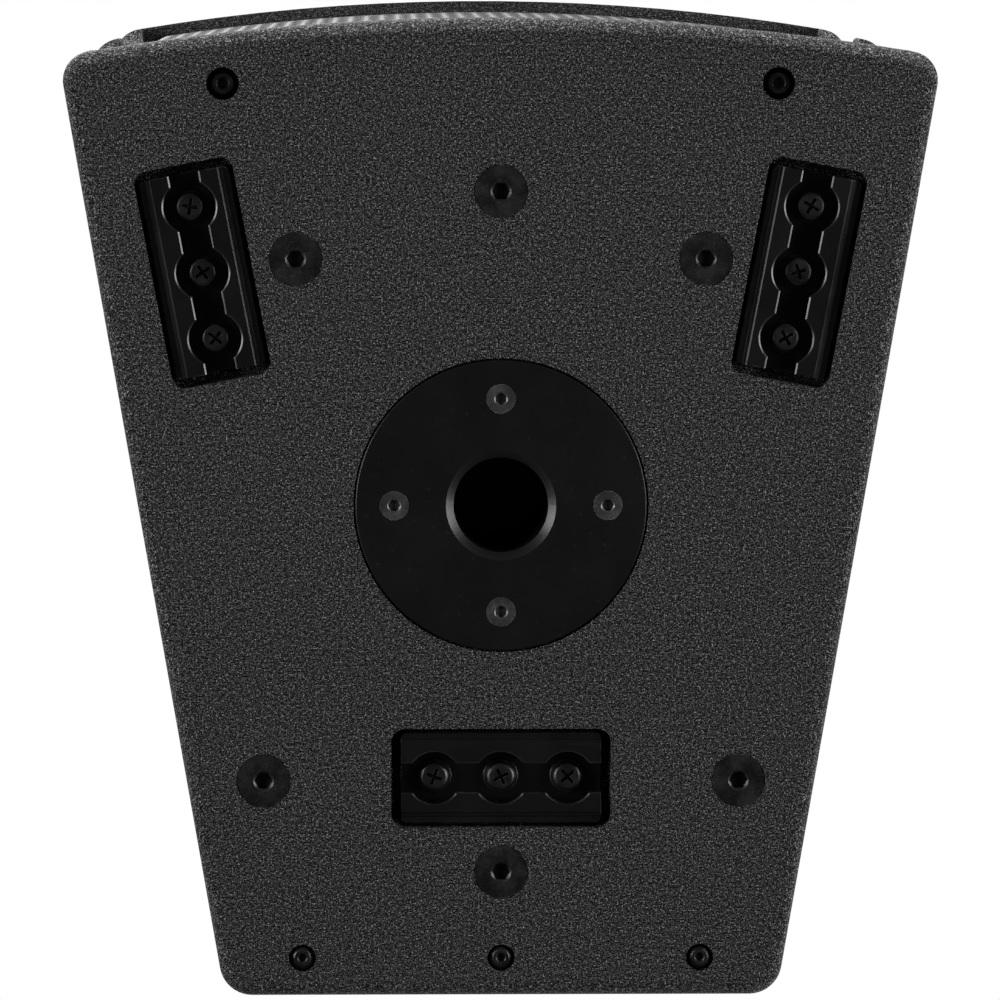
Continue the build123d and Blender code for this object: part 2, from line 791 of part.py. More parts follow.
coil_profile = [(25, 34), (25.6, 34), (25.6, 64), (26.6, 64), (26.6, 80), (25.6, 80), (25.6, 84), (25, 84)]
save(turned(coil_profile, woofer_axis, inward), "woofer_voice_coil")


def revolved_skin(centre_line, thickness, name):
    """A thin shell of revolution about the woofer's axis, from its centre line's points."""
    plane = Plane(origin=woofer_axis, x_dir=(1, 0, 0), z_dir=Vector(1, 0, 0).cross(Vector(*inward)))
    with BuildPart() as skin:
        with BuildSketch(plane):
            front = [(radius, depth - thickness / 2) for radius, depth in centre_line]
            back = [(radius, depth + thickness / 2) for radius, depth in reversed(centre_line)]
            Polygon(*front, *back, align=None)
        revolve(axis=Axis(woofer_axis, inward))
    save(skin.part, name)


cone_neck_radius = 25.75
cone_neck_depth = 42
cone_edge_radius = surround_inner + 1
cone_rise = 38.5
cone_curve = 0.72


def cone_depth(radius):
    """Depth of the cone's middle line: a flare that is steepest at the neck."""
    share = (radius - cone_neck_radius) / (cone_edge_radius - cone_neck_radius)
    return cone_neck_depth - cone_rise * share**cone_curve


cone_steps = 8
cone_radii = [
    cone_neck_radius + (cone_edge_radius - cone_neck_radius) * step / cone_steps
    for step in range(cone_steps + 1)
]
revolved_skin([(radius, cone_depth(radius)) for radius in cone_radii], 1.0, "woofer_cone")

dust_cap_radius = 38
dust_cap_rise = 11
cap_steps = 8
cap_rim_depth = cone_depth(dust_cap_radius) - 1.3
cap_radii = [dust_cap_radius * step / cap_steps for step in range(cap_steps + 1)]
cap_line = [
    (radius, cap_rim_depth - dust_cap_rise * (1 - (radius / dust_cap_radius) ** 2)) for radius in cap_radii
]
revolved_skin(cap_line, 0.8, "woofer_dust_cap")

roll_inner = cone_edge_radius + 1
roll_outer = surround_outer - 1
roll_middle = (roll_inner + roll_outer) / 2
roll_radius = (roll_outer - roll_inner) / 2
roll_base_depth = -0.5
roll_steps = 12
roll_angles = [pi * step / roll_steps for step in range(roll_steps + 1)]
surround_line = [
    (cone_edge_radius - 6, cone_depth(cone_edge_radius - 6) - 1.1),
    (cone_edge_radius, cone_depth(cone_edge_radius) - 1.1),
    *[
        (roll_middle - roll_radius * cos(angle), roll_base_depth - 1.4 * roll_radius * sin(angle))
        for angle in roll_angles
    ],
    (woofer_frame_radius - 9, roll_base_depth),
]
revolved_skin(surround_line, 0.9, "woofer_surround")

spider_inner = 26
spider_outer = 68
spider_steps = 24
spider_waves = 4
spider_line = []
for step in range(spider_steps + 1):
    radius = spider_inner + (spider_outer - 6 - spider_inner) * step / spider_steps
    spider_line.append((radius, spider_seat_depth + 1.8 * sin(2 * pi * spider_waves * step / spider_steps)))
spider_line.append((spider_outer, spider_seat_depth))
revolved_skin(spider_line, 0.5, "woofer_spider")

gasket_profile = [(118, -3.4), (woofer_frame_radius, -3.4), (woofer_frame_radius, -1), (118, -1)]
with BuildPart() as woofer_gasket:
    add(turned(gasket_profile, woofer_axis, inward))
    with BuildSketch(baffle_plane):
        with Locations((0, woofer_height)):
            with PolarLocations(woofer_screw_radius, 8, start_angle=22.5):
                Circle(2.7)
    extrude(amount=4, mode=Mode.SUBTRACT)
save(woofer_gasket.part, "woofer_gasket")

# ---------------------------------------------------------------- ports
with BuildPart() as port_tube:
    tube_profile = [
        (port_radius + 1.6, 0),
        (port_radius + port_wall, 0),
        (port_radius + port_wall, port_length),
        (port_radius, port_length),
        (port_radius, 4),
        (port_radius + 0.5, 1.6),
    ]
    add(turned(tube_profile, (0, baffle_front_y, 0), inward))
for level, port_height in port_heights.items():
    for side, direction in (("left", -1), ("right", 1)):
        with BuildPart() as port:
            with Locations((direction * port_x, 0, port_height)):
                add(port_tube.part)
        save(port.part, f"port_{level}_{side}")

# ---------------------------------------------------------------- horn and compression driver
horn_depth = 110
throat_radius = 12.7
driver_radius = 55
horn_sections = [
    (0, *horn_mouth, 16),
    (28, 190, 140, 26),
    (64, 104, 76, 26),
    (horn_depth, 25.6, 25.6, 12.75),
]


def horn_flare(growth):
    """The flare as a solid loft, each section grown outwards by growth."""
    with BuildPart() as flare:
        for depth, width, height, rounding in horn_sections:
            with BuildSketch(baffle_plane.offset(-depth)):
                with Locations((0, horn_height)):
                    RectangleRounded(width + 2 * growth, height + 2 * growth, rounding + growth)
        loft()
    return flare.part


flare_inside = horn_flare(0)
flare_outside = horn_flare(horn_wall)
with BuildPart() as horn:
    add(flare_outside)
    with BuildSketch(baffle_plane):
        with Locations((0, horn_height)):
            RectangleRounded(horn_flange[0], horn_flange[1], 11.5)
            with GridLocations(horn_flange[0] - 12, horn_flange[1] - 12, 2, 2):
                Circle(2.7, mode=Mode.SUBTRACT)
    extrude(amount=-horn_flange[2])
    with BuildSketch(baffle_plane.offset(-horn_depth + 7)):
        with Locations((0, horn_height)):
            Circle(44)
            with PolarLocations(38, 4, start_angle=45):
                Circle(3.1, mode=Mode.SUBTRACT)
    extrude(amount=-7)
    add(flare_inside, mode=Mode.SUBTRACT)
save(horn.part, "horn")

driver_origin = (0, baffle_front_y + horn_depth, horn_height)
driver_profile = [
    (throat_radius, 0),
    (46, 0),
    (46, 7),
    (driver_radius, 9),
    (driver_radius, 30),
    (driver_radius - 2, 32),
    (48, 34),
    (48, 46),
    (42, 52),
    (0, 52),
    (0, 14),
    (throat_radius, 14),
]
with BuildPart() as compression_driver:
    add(turned(driver_profile, driver_origin, inward))
    with BuildSketch(Plane(origin=driver_origin, x_dir=(1, 0, 0), z_dir=inward)):
        with PolarLocations(38, 4, start_angle=45):
            Circle(3.05)
    extrude(amount=6.5, mode=Mode.SUBTRACT)
save(compression_driver.part, "compression_driver")

driver_screw = socket_screw([(2.6, 0), (4, 0.6), (4.6, 1.8), (4.6, 2.6)], 2.5, 24, 3, 1.6)
driver_bolt = socket_screw([(3.6, 0), (4.9, 1), (4.9, 4)], 3, 17, 4, 2.4)
with BuildPart() as driver_screws:
    with Locations(Plane(origin=(0, baffle_front_y - 6, woofer_height), x_dir=(1, 0, 0), z_dir=inward)):
        with PolarLocations(woofer_screw_radius, 8, start_angle=22.5):
            add(driver_screw)
    with Locations(Plane(origin=(0, baffle_front_y - 2.6, horn_height), x_dir=(1, 0, 0), z_dir=inward)):
        with GridLocations(horn_flange[0] - 12, horn_flange[1] - 12, 2, 2):
            add(driver_screw)
    with Locations(
        Plane(origin=(0, baffle_front_y + horn_depth - 11, horn_height), x_dir=(1, 0, 0), z_dir=inward)
    ):
        with PolarLocations(38, 4, start_angle=45):
            add(driver_bolt)
save(driver_screws.part, "driver_screws")

# ---------------------------------------------------------------- rear module (u runs along -X, v up)
tray_low = inner_bottom + 0.3
tray_high = inner_top - 0.3
tray_face_y = tray_front_y + tray_thickness
rear_plane = Plane(origin=(0, tray_face_y, 0), x_dir=(-1, 0, 0), z_dir=(0, 1, 0))
combo_place = (-45, 250)
link_place = (-45, 205)
knob_place = (0, 250)
button_places = {"low_cut_button": (0, 219), "mic_line_button": (0, 201)}
lamp_places = [(-14, 274), (0, 274), (14, 274)]
inlet_place = (48, 74)
switch_place = (48, 120)
socket_plate = (26, 31, 2)
socket_body_radius = 11.8
socket_body_depth = 24
jack_bore_radius = 3.25
jack_bore_depth = 20
contact_circle = 7.4
contact_radius = 1.3
contact_depth = 5
face_groove_depth = 0.8
inlet_flange = (50, 28, 2)
inlet_body = (31, 24, 20)
switch_flange = (17, 31, 1.5)
switch_body = (13, 27, 16)
switch_pocket = (10.4, 21.6)
knob_shaft_radius = 3
knob_hole_radius = 3.6
button_radius = 3.6
sink_width = 150
sink_low = 310
sink_high = 530
board_y = 138
board_thickness = 1.6
stand_off_radius = 3.5
amplifier_board_size = (140, 200)
amplifier_board_height = 415
input_board_size = (88, 108)
input_board_place = (-28, 240)

with BuildPart() as rear_tray:
    with Locations((0, (tray_front_y + tray_rear_y) / 2, (tray_low + tray_high) / 2)):
        Box(2 * tray_half_width, tray_rear_y - tray_front_y, tray_high - tray_low)
    fillet(rear_tray.edges().filter_by(Axis.Z).group_by(Axis.Y)[0], 3)
    offset(
        amount=-tray_thickness,
        openings=rear_tray.faces().sort_by(Axis.Y)[-1],
        kind=Kind.INTERSECTION,
    )
    with BuildSketch(rear_plane):
        with Locations(combo_place, link_place):
            Circle(socket_body_radius + 0.2)
            with GridLocations(19, 24, 2, 2):
                Circle(1.6)
        with Locations(knob_place):
            Circle(knob_hole_radius)
        with Locations(*button_places.values()):
            Circle(button_radius + 0.4)
        with Locations(*lamp_places):
            Circle(1.75)
        with Locations(inlet_place):
            Rectangle(inlet_body[0] + 0.4, inlet_body[1] + 0.4)
            with GridLocations(40, 0, 2, 1):
                Circle(1.7)
        with Locations(switch_place):
            Rectangle(switch_body[0] + 0.4, switch_body[1] + 0.4)
    extrude(amount=-tray_thickness, mode=Mode.SUBTRACT)
    for low, height in ((tray_low, 6.5), (tray_high, -6.5)):
        with BuildSketch(Plane.XY.offset(low)):
            with Locations(*rear_screw_points):
                RegularPolygon(radius=4.5, side_count=6, major_radius=False)
        extrude(amount=height)
    with BuildSketch(Plane.XY.offset(tray_low)):
        with Locations(*rear_screw_points):
            Circle(2.55)
    extrude(amount=tray_high - tray_low, mode=Mode.SUBTRACT)
save(rear_tray.part, "rear_tray")

with BuildPart() as tray_gasket:
    gasket_half = half_width(tray_front_y, side_thickness) - 1
    with BuildSketch(Plane(origin=(0, tray_front_y, 0), x_dir=(-1, 0, 0), z_dir=(0, 1, 0))):
        for direction in (-1, 1):
            with Locations((direction * (gasket_half - 8), cabinet_height / 2)):
                Rectangle(14, inner_height - 44)
    extrude(amount=-2)
save(tray_gasket.part, "tray_gasket")

fin_pitch = 9.2
fin_count = 16
fin_thickness = 2.4
with BuildPart() as heat_sink:
    with BuildSketch(Plane.XY.offset(sink_low)):
        with Locations((0, tray_face_y + 2.5)):
            Rectangle(sink_width, 5)
        with Locations((0, tray_face_y + 4.5)):
            with GridLocations(fin_pitch, 1, fin_count, 1):
                Trapezoid(fin_thickness + 1, 16, 88, align=(Align.CENTER, Align.MIN))
    extrude(amount=sink_high - sink_low)
save(heat_sink.part, "heat_sink")

board_plane = Plane(origin=(0, board_y, 0), x_dir=(-1, 0, 0), z_dir=(0, 1, 0))
board_gap = tray_front_y - board_y - board_thickness
with BuildPart() as amplifier_board:
    with BuildSketch(board_plane):
        with Locations((0, amplifier_board_height)):
            Rectangle(*amplifier_board_size)
    extrude(amount=board_thickness)
    with BuildSketch(board_plane.offset(board_thickness)):
        with Locations((0, amplifier_board_height)):
            with GridLocations(amplifier_board_size[0] - 12, amplifier_board_size[1] - 12, 2, 2):
                Circle(stand_off_radius)
        with Locations((0, amplifier_board_height + 30)):
            Rectangle(112, 18)
    extrude(amount=board_gap)
    with BuildSketch(board_plane):
        with Locations((0, amplifier_board_height + 30)):
            with GridLocations(22, 1, 5, 1):
                Rectangle(15, 20)
        with Locations((-44, amplifier_board_height + 70), (-4, amplifier_board_height + 66)):
            Rectangle(24, 30)
        with Locations((44, amplifier_board_height + 70)):
            RectangleRounded(40, 34, 4)
    extrude(amount=-14)
save(amplifier_board.part, "amplifier_board")

capacitor_height = amplifier_board_height - 72
with BuildPart() as reservoir_capacitors:
    with BuildSketch(board_plane):
        with Locations((0, capacitor_height)):
            with GridLocations(34, 1, 4, 1):
                Circle(15)
    extrude(amount=-36)
    fillet(reservoir_capacitors.edges().group_by(Axis.Y)[0], 1.5)
save(reservoir_capacitors.part, "reservoir_capacitors")

transformer_place = (-24, 118)
with BuildPart() as power_transformer:
    with BuildSketch(rear_plane.offset(-tray_thickness)):
        with Locations(transformer_place):
            Circle(46)
            Circle(16, mode=Mode.SUBTRACT)
    extrude(amount=-40)
    fillet(power_transformer.edges().filter_by(GeomType.CIRCLE), 9)
    with BuildSketch(rear_plane.offset(-tray_thickness)):
        with Locations(transformer_place):
            Circle(17)
            Circle(3, mode=Mode.SUBTRACT)
    extrude(amount=-42)
save(power_transformer.part, "power_transformer")

# ---------------------------------------------------------------- sockets and controls
with BuildPart() as input_board:
    with BuildSketch(board_plane.offset(-4)):
        with Locations(input_board_place):
            Rectangle(*input_board_size)
        with Locations(knob_place):
            Circle(knob_shaft_radius + 1, mode=Mode.SUBTRACT)
    extrude(amount=board_thickness)
    with BuildSketch(board_plane.offset(-4 + board_thickness)):
        with Locations(knob_place):
            Rectangle(17, 17)
            Circle(knob_shaft_radius + 0.05, mode=Mode.SUBTRACT)
    extrude(amount=9)
    with BuildSketch(board_plane.offset(-4 + board_thickness)):
        with Locations(*button_places.values()):
            Rectangle(11, 11)
    extrude(amount=10)
    with BuildSketch(board_plane.offset(-4)):
        with Locations((-30, 270), (-50, 228), (-58, 262)):
            Rectangle(10, 14)
        with Locations((-12, 230), (-22, 205)):
            Circle(4)
    extrude(amount=-7)
    with BuildSketch(board_plane.offset(-4 + board_thickness)):
        with Locations((-66, 292), (-66, 190), (10, 292), (10, 190)):
            Circle(stand_off_radius)
    extrude(amount=tray_front_y - board_y + 4 - board_thickness)
save(input_board.part, "input_board")


def socket_blank(place):
    """A panel socket's square plate outside the tray and round body inside it."""
    with BuildPart() as blank:
        with BuildSketch(rear_plane):
            with Locations(place):
                RectangleRounded(socket_plate[0], socket_plate[1], 2.5)
                with GridLocations(19, 24, 2, 2):
                    Circle(1.55, mode=Mode.SUBTRACT)
        extrude(amount=socket_plate[2])
        with BuildSketch(rear_plane):
            with Locations(place):
                Circle(socket_body_radius)
        extrude(amount=-socket_body_depth)
    return blank.part


with BuildPart() as combo_socket:
    add(socket_blank(combo_place))
    with BuildSketch(rear_plane.offset(socket_plate[2])):
        with Locations(combo_place):
            Circle(jack_bore_radius)
    extrude(amount=-jack_bore_depth, mode=Mode.SUBTRACT)
    with BuildSketch(rear_plane.offset(socket_plate[2])):
        with Locations(combo_place):
            with PolarLocations(contact_circle, 3, start_angle=-90):
                Circle(contact_radius)
    extrude(amount=-contact_depth, mode=Mode.SUBTRACT)
    with BuildSketch(rear_plane.offset(socket_plate[2])):
        with Locations(combo_place):
            Circle(10.6)
            Circle(9.6, mode=Mode.SUBTRACT)
    extrude(amount=-face_groove_depth, mode=Mode.SUBTRACT)
    with BuildSketch(rear_plane.offset(socket_plate[2])):
        with Locations((combo_place[0], combo_place[1] + 12.6)):
            RectangleRounded(9, 3, 1)
    extrude(amount=1.2)
save(combo_socket.part, "combo_input_socket")

with BuildPart() as link_socket:
    add(socket_blank(link_place))
    with BuildSketch(rear_plane.offset(socket_plate[2])):
        with Locations(link_place):
            Circle(9.4)
    extrude(amount=-18, mode=Mode.SUBTRACT)
    with BuildSketch(rear_plane.offset(socket_plate[2] - 18)):
        with Locations(link_place):
            with PolarLocations(7, 3, start_angle=90):
                Circle(1.2)
    extrude(amount=12)
save(link_socket.part, "link_output_socket")

with BuildPart() as mains_inlet:
    with BuildSketch(rear_plane):
        with Locations(inlet_place):
            RectangleRounded(inlet_flange[0], inlet_flange[1], 4)
            with GridLocations(40, 0, 2, 1):
                Circle(1.7, mode=Mode.SUBTRACT)
    extrude(amount=inlet_flange[2])
    with BuildSketch(rear_plane):
        with Locations(inlet_place):
            Rectangle(inlet_body[0], inlet_body[1])
    extrude(amount=-inlet_body[2])
    with BuildSketch(rear_plane.offset(inlet_flange[2])):
        with Locations(inlet_place):
            RectangleRounded(25, 17, 3)
    extrude(amount=-18, mode=Mode.SUBTRACT)
    with BuildSketch(rear_plane.offset(inlet_flange[2] - 18)):
        with Locations(inlet_place):
            with Locations((-7, -2), (0, 2), (7, -2)):
                Rectangle(2, 4)
    extrude(amount=11)
save(mains_inlet.part, "mains_inlet")

socket_screw_part = socket_screw([(2.2, 0), (2.7, 0.8), (2.7, 1.4)], 1.5, 9, 1.8, 0.9)
with BuildPart() as socket_screws:
    for place, spacing, plate in (
        (combo_place, (19, 24), socket_plate[2]),
        (link_place, (19, 24), socket_plate[2]),
        (inlet_place, (40, 0), inlet_flange[2]),
    ):
        columns, rows = (2, 2) if spacing[1] else (2, 1)
        seat = Plane(origin=(0, tray_face_y + plate + 1.4, 0), x_dir=(-1, 0, 0), z_dir=(0, -1, 0))
        with Locations(seat):
            with Locations((place[0], -place[1])):
                with GridLocations(spacing[0], spacing[1], columns, rows):
                    add(socket_screw_part)
save(socket_screws.part, "socket_screws")

rocker_pivot_depth = 1
rocker_half_width = 4.9
rocker_tilt = 10
rocker_pin_radius = 1.2
rocker_pin_reach = 6.1
rocker_centre = (-switch_place[0], tray_face_y - rocker_pivot_depth, switch_place[1])

with BuildPart() as switch_frame:
    with BuildSketch(rear_plane):
        with Locations(switch_place):
            RectangleRounded(switch_flange[0], switch_flange[1], 1.5)
    extrude(amount=switch_flange[2])
    with BuildSketch(rear_plane):
        with Locations(switch_place):
            Rectangle(switch_body[0], switch_body[1])
    extrude(amount=-switch_body[2])
    with BuildSketch(rear_plane.offset(switch_flange[2])):
        with Locations(switch_place):
            Rectangle(*switch_pocket)
    extrude(amount=-10, mode=Mode.SUBTRACT)
    with BuildSketch(Plane(origin=rocker_centre, x_dir=(0, 1, 0), z_dir=(1, 0, 0))):
        Circle(rocker_pin_radius + 0.05)
    extrude(amount=rocker_pin_reach + 0.1, both=True, mode=Mode.SUBTRACT)
save(switch_frame.part, "switch_frame")

with BuildPart() as rocker_level:
    with BuildSketch(Plane.YZ):
        Polygon((4.4, -9.4), (2.6, 0), (4.4, 9.4), (-3.5, 7.4), (-3.5, -7.4), align=None)
    extrude(amount=rocker_half_width, both=True)
    fillet(rocker_level.edges().filter_by(Axis.X).group_by(Axis.Y)[-1], 0.8)
    with BuildSketch(Plane.YZ):
        Circle(rocker_pin_radius)
    extrude(amount=rocker_pin_reach, both=True)

with BuildPart() as power_rocker:
    with Locations(Location(rocker_centre, (-rocker_tilt, 0, 0))):
        add(rocker_level.part)
save(power_rocker.part, "power_rocker")

knob_rear_y = tray_face_y + 0.6
knob_height = 12
knob_flutes = 18
knob_axis_plane = Plane(
    origin=(-knob_place[0], knob_rear_y, knob_place[1]), x_dir=(-1, 0, 0), z_dir=(0, 1, 0)
)
with BuildPart() as level_knob:
    with BuildSketch(knob_axis_plane):
        Circle(9)
    extrude(amount=knob_height, taper=5)
    fillet(level_knob.edges().group_by(Axis.Y)[-1], 1)
    with BuildSketch(knob_axis_plane.offset(2)):
        with PolarLocations(9.1, knob_flutes):
            Circle(0.8)
    extrude(amount=knob_height, taper=3, mode=Mode.SUBTRACT)
    with BuildSketch(knob_axis_plane.offset(knob_height)):
        with Locations((0, 4.5)):
            Rectangle(1.2, 6)
    extrude(amount=-0.6, mode=Mode.SUBTRACT)
    with BuildSketch(knob_axis_plane):
        Circle(knob_shaft_radius)
    extrude(amount=-(knob_rear_y - board_y + 1))
save(level_knob.part, "level_knob")

button_proud = 4
button_rear_y = 148
for name, place in button_places.items():
    with BuildPart() as button:
        with BuildSketch(rear_plane.offset(button_proud)):
            with Locations(place):
                Circle(button_radius)
        extrude(amount=-(tray_face_y + button_proud - button_rear_y))
        chamfer(button.edges().group_by(Axis.Y)[-1], 0.6)
    save(button.part, name)

with BuildPart() as status_lamps:
    with BuildSketch(rear_plane.offset(1.6)):
        with Locations(*lamp_places):
            Circle(1.7)
    extrude(amount=-6)
    fillet(status_lamps.edges().group_by(Axis.Y)[-1], 1.2)
save(status_lamps.part, "status_lamps")
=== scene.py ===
import math

import bmesh
import bpy
from mathutils import Matrix, Vector
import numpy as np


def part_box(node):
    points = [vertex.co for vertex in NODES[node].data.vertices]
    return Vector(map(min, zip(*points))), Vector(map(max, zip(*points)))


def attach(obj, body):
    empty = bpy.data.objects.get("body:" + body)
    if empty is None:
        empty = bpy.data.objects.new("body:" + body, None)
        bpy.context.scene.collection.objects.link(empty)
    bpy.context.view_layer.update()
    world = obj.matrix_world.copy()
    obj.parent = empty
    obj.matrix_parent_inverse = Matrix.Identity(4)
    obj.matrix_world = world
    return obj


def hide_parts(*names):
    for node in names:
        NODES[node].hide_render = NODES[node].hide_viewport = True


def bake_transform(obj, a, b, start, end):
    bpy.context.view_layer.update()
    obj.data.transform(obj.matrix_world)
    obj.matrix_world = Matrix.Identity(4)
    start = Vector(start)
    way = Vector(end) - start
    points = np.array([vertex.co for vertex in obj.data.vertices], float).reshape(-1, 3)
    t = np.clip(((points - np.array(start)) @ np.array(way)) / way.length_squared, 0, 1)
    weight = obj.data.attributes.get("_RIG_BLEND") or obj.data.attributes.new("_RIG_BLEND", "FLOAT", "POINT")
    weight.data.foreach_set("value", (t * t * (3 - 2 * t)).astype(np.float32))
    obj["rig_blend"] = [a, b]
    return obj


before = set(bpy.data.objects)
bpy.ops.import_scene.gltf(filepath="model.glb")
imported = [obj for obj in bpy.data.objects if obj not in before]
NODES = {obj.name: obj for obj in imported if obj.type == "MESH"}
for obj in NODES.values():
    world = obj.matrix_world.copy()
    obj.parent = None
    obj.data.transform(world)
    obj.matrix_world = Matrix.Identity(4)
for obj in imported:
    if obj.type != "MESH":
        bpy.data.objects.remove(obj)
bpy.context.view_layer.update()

MM = 0.001
GRAIN_PER_METRE = 1700


# ------------------------------------------------------------------ material building blocks
class Shade:
    """A material under construction: its node tree, its shader and its object coordinates."""

    def __init__(self, name):
        self.material = bpy.data.materials.new(name)
        self.material.use_nodes = True
        self.tree = self.material.node_tree
        self.shader = self.tree.nodes["Principled BSDF"]
        self.place = self.node("ShaderNodeTexCoord").outputs["Object"]

    def node(self, kind, **settings):
        made = self.tree.nodes.new(kind)
        for key, value in settings.items():
            setattr(made, key, value)
        return made

    def feed(self, socket, value):
        """Set a socket to a number or colour, or link another node's output to it."""
        if isinstance(value, bpy.types.NodeSocket):
            self.tree.links.new(value, socket)
        elif isinstance(value, tuple) and len(value) == 3 and socket.type == "RGBA":
            socket.default_value = (*value, 1)
        else:
            socket.default_value = value

    def stretch(self, scale):
        """The object coordinates, scaled by a different amount along each axis."""
        mapping = self.node("ShaderNodeMapping")
        self.feed(mapping.inputs["Vector"], self.place)
        mapping.inputs["Scale"].default_value = scale
        return mapping.outputs["Vector"]

    def noise(self, scale, detail=2.0, roughness=0.5, place=None, distortion=0.0):
        """Soft random values about 0.5."""
        made = self.node("ShaderNodeTexNoise")
        self.feed(made.inputs["Vector"], place or self.place)
        self.feed(made.inputs["Scale"], float(scale))
        self.feed(made.inputs["Detail"], float(detail))
        self.feed(made.inputs["Roughness"], float(roughness))
        self.feed(made.inputs["Distortion"], float(distortion))
        return made.outputs["Fac"]

    def cells(self, scale, feature="F1", place=None):
        """Distances in a field of random cells, such as pores or pits."""
        made = self.node("ShaderNodeTexVoronoi", feature=feature)
        self.feed(made.inputs["Vector"], place or self.place)
        self.feed(made.inputs["Scale"], float(scale))
        return made.outputs["Distance"]

    def ramp(self, value, low, high, start=0.0, end=1.0):
        """Map value from low..high to start..end, clamped and eased."""
        made = self.node("ShaderNodeMapRange", interpolation_type="SMOOTHSTEP")
        self.feed(made.inputs["Value"], value)
        self.feed(made.inputs["From Min"], low)
        self.feed(made.inputs["From Max"], high)
        self.feed(made.inputs["To Min"], start)
        self.feed(made.inputs["To Max"], end)
        return made.outputs["Result"]

    def math(self, operation, first, second):
        made = self.node("ShaderNodeMath", operation=operation)
        self.feed(made.inputs[0], first)
        self.feed(made.inputs[1], second)
        return made.outputs[0]

    def mix(self, share, first, second):
        """A colour between first and second."""
        made = self.node("ShaderNodeMix", data_type="RGBA")
        self.feed(made.inputs["Factor"], share)
        self.feed(made.inputs["A"], first)
        self.feed(made.inputs["B"], second)
        return made.outputs["Result"]

    def edges(self, radius):
        """One on edges within radius metres, nought on flat ground."""
        bevel = self.node("ShaderNodeBevel", samples=4)
        self.feed(bevel.inputs["Radius"], radius)
        plain = self.node("ShaderNodeNewGeometry").outputs["Normal"]
        turn = self.node("ShaderNodeVectorMath", operation="DOT_PRODUCT")
        self.feed(turn.inputs[0], bevel.outputs["Normal"])
        self.feed(turn.inputs[1], plain)
        return self.ramp(self.math("SUBTRACT", 1.0, turn.outputs["Value"]), 0.03, 0.25)

    def bump(self, height, distance, strength=1.0):
        """A bumped normal, with the height's full range distance metres deep."""
        made = self.node("ShaderNodeBump")
        self.feed(made.inputs["Height"], height)
        self.feed(made.inputs["Distance"], distance)
        self.feed(made.inputs["Strength"], strength)
        return made.outputs["Normal"]

    def surface(self, **sockets):
        """Fill the shader's sockets by name, with underscores for spaces."""
        for key, value in sockets.items():
            self.feed(self.shader.inputs[key.replace("_", " ")], value)
        return self.material


def paint(material, *names):
    """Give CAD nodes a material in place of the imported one."""
    for name in names:
        mesh = NODES[name].data
        mesh.materials.clear()
        mesh.materials.append(material)


# ------------------------------------------------------------------ materials
def textured_paint():
    """Sprayed black coating: a hard sandy grain, its raised peaks coloured lighter and its highest specks
    near white as painted highlights.
    """
    shade = Shade("textured_cabinet_paint")
    grain = shade.noise(GRAIN_PER_METRE, 1.0, 0.5)
    coarse = shade.noise(GRAIN_PER_METRE * 0.45, 2.0, 0.5)
    mixed = shade.math("ADD", shade.math("MULTIPLY", grain, 0.7), shade.math("MULTIPLY", coarse, 0.3))
    # Painted highlights: the grain's raised peaks are coloured far lighter than the black paint, and its
    # highest specks near white, for light caught by the grain.
    painted_tip_highlight = shade.ramp(mixed, 0.40, 0.64)
    painted_glint_highlight = shade.ramp(mixed, 0.56, 0.70)
    drift = shade.noise(14, 3.0, 0.55)
    tone = shade.mix(drift, (0.0006, 0.0006, 0.0006), (0.0012, 0.0012, 0.0012))
    tone = shade.mix(painted_tip_highlight, tone, (0.062, 0.062, 0.063))
    tone = shade.mix(painted_glint_highlight, tone, (0.22, 0.22, 0.223))
    return shade.surface(
        Base_Color=tone,
        Roughness=shade.ramp(drift, 0.3, 0.7, 0.56, 0.64),
        Specular_IOR_Level=0.06,
        Normal=shade.bump(mixed, 0.0018, 1.0),
    )


def powder_coat(name, colour, grain_scale, depth, roughness, rubbed=0.6, gloss=0.5):
    """Black powder coat, with a fine orange peel, faint dust and rubbed edges."""
    shade = Shade(name)
    fine = shade.noise(grain_scale, 2.0, 0.5)
    cloud = shade.noise(30, 4.0, 0.65)
    dust = shade.ramp(shade.noise(420, 3.0, 0.6), 0.62, 0.74)
    rub = shade.math("MULTIPLY", shade.edges(0.0008), shade.ramp(shade.noise(90, 4), 0.48, 0.7))
    tone = shade.mix(cloud, tuple(c * 0.85 for c in colour), tuple(c * 1.2 for c in colour))
    tone = shade.mix(shade.math("MULTIPLY", dust, 0.12), tone, (0.05, 0.05, 0.05))
    tone = shade.mix(shade.math("MULTIPLY", rub, rubbed), tone, (0.10, 0.10, 0.10))
    return shade.surface(
        Base_Color=tone,
        Roughness=shade.ramp(cloud, 0.3, 0.7, roughness - 0.02, roughness + 0.03),
        Specular_IOR_Level=gloss,
        Normal=shade.bump(fine, depth, 0.6),
    )


def anodised(name, colour, lines_scale, roughness):
    """Black anodised extrusion, with fine marks stretched along the axis of least scale."""
    shade = Shade(name)
    lines = shade.noise(1, 2.0, 0.5, shade.stretch(lines_scale))
    cloud = shade.noise(30, 3.0, 0.6)
    worn = shade.math("MULTIPLY", shade.edges(0.0006), shade.ramp(shade.noise(160, 4), 0.42, 0.7))
    tone = shade.mix(lines, colour, tuple(c * 1.6 + 0.001 for c in colour))
    tone = shade.mix(shade.math("MULTIPLY", worn, 0.7), tone, (0.20, 0.20, 0.21))
    return shade.surface(
        Base_Color=tone,
        Metallic=0.35,
        Specular_IOR_Level=0.5,
        Roughness=shade.ramp(cloud, 0.3, 0.7, roughness - 0.04, roughness + 0.08),
        Normal=shade.bump(lines, 0.00003, 0.5),
    )


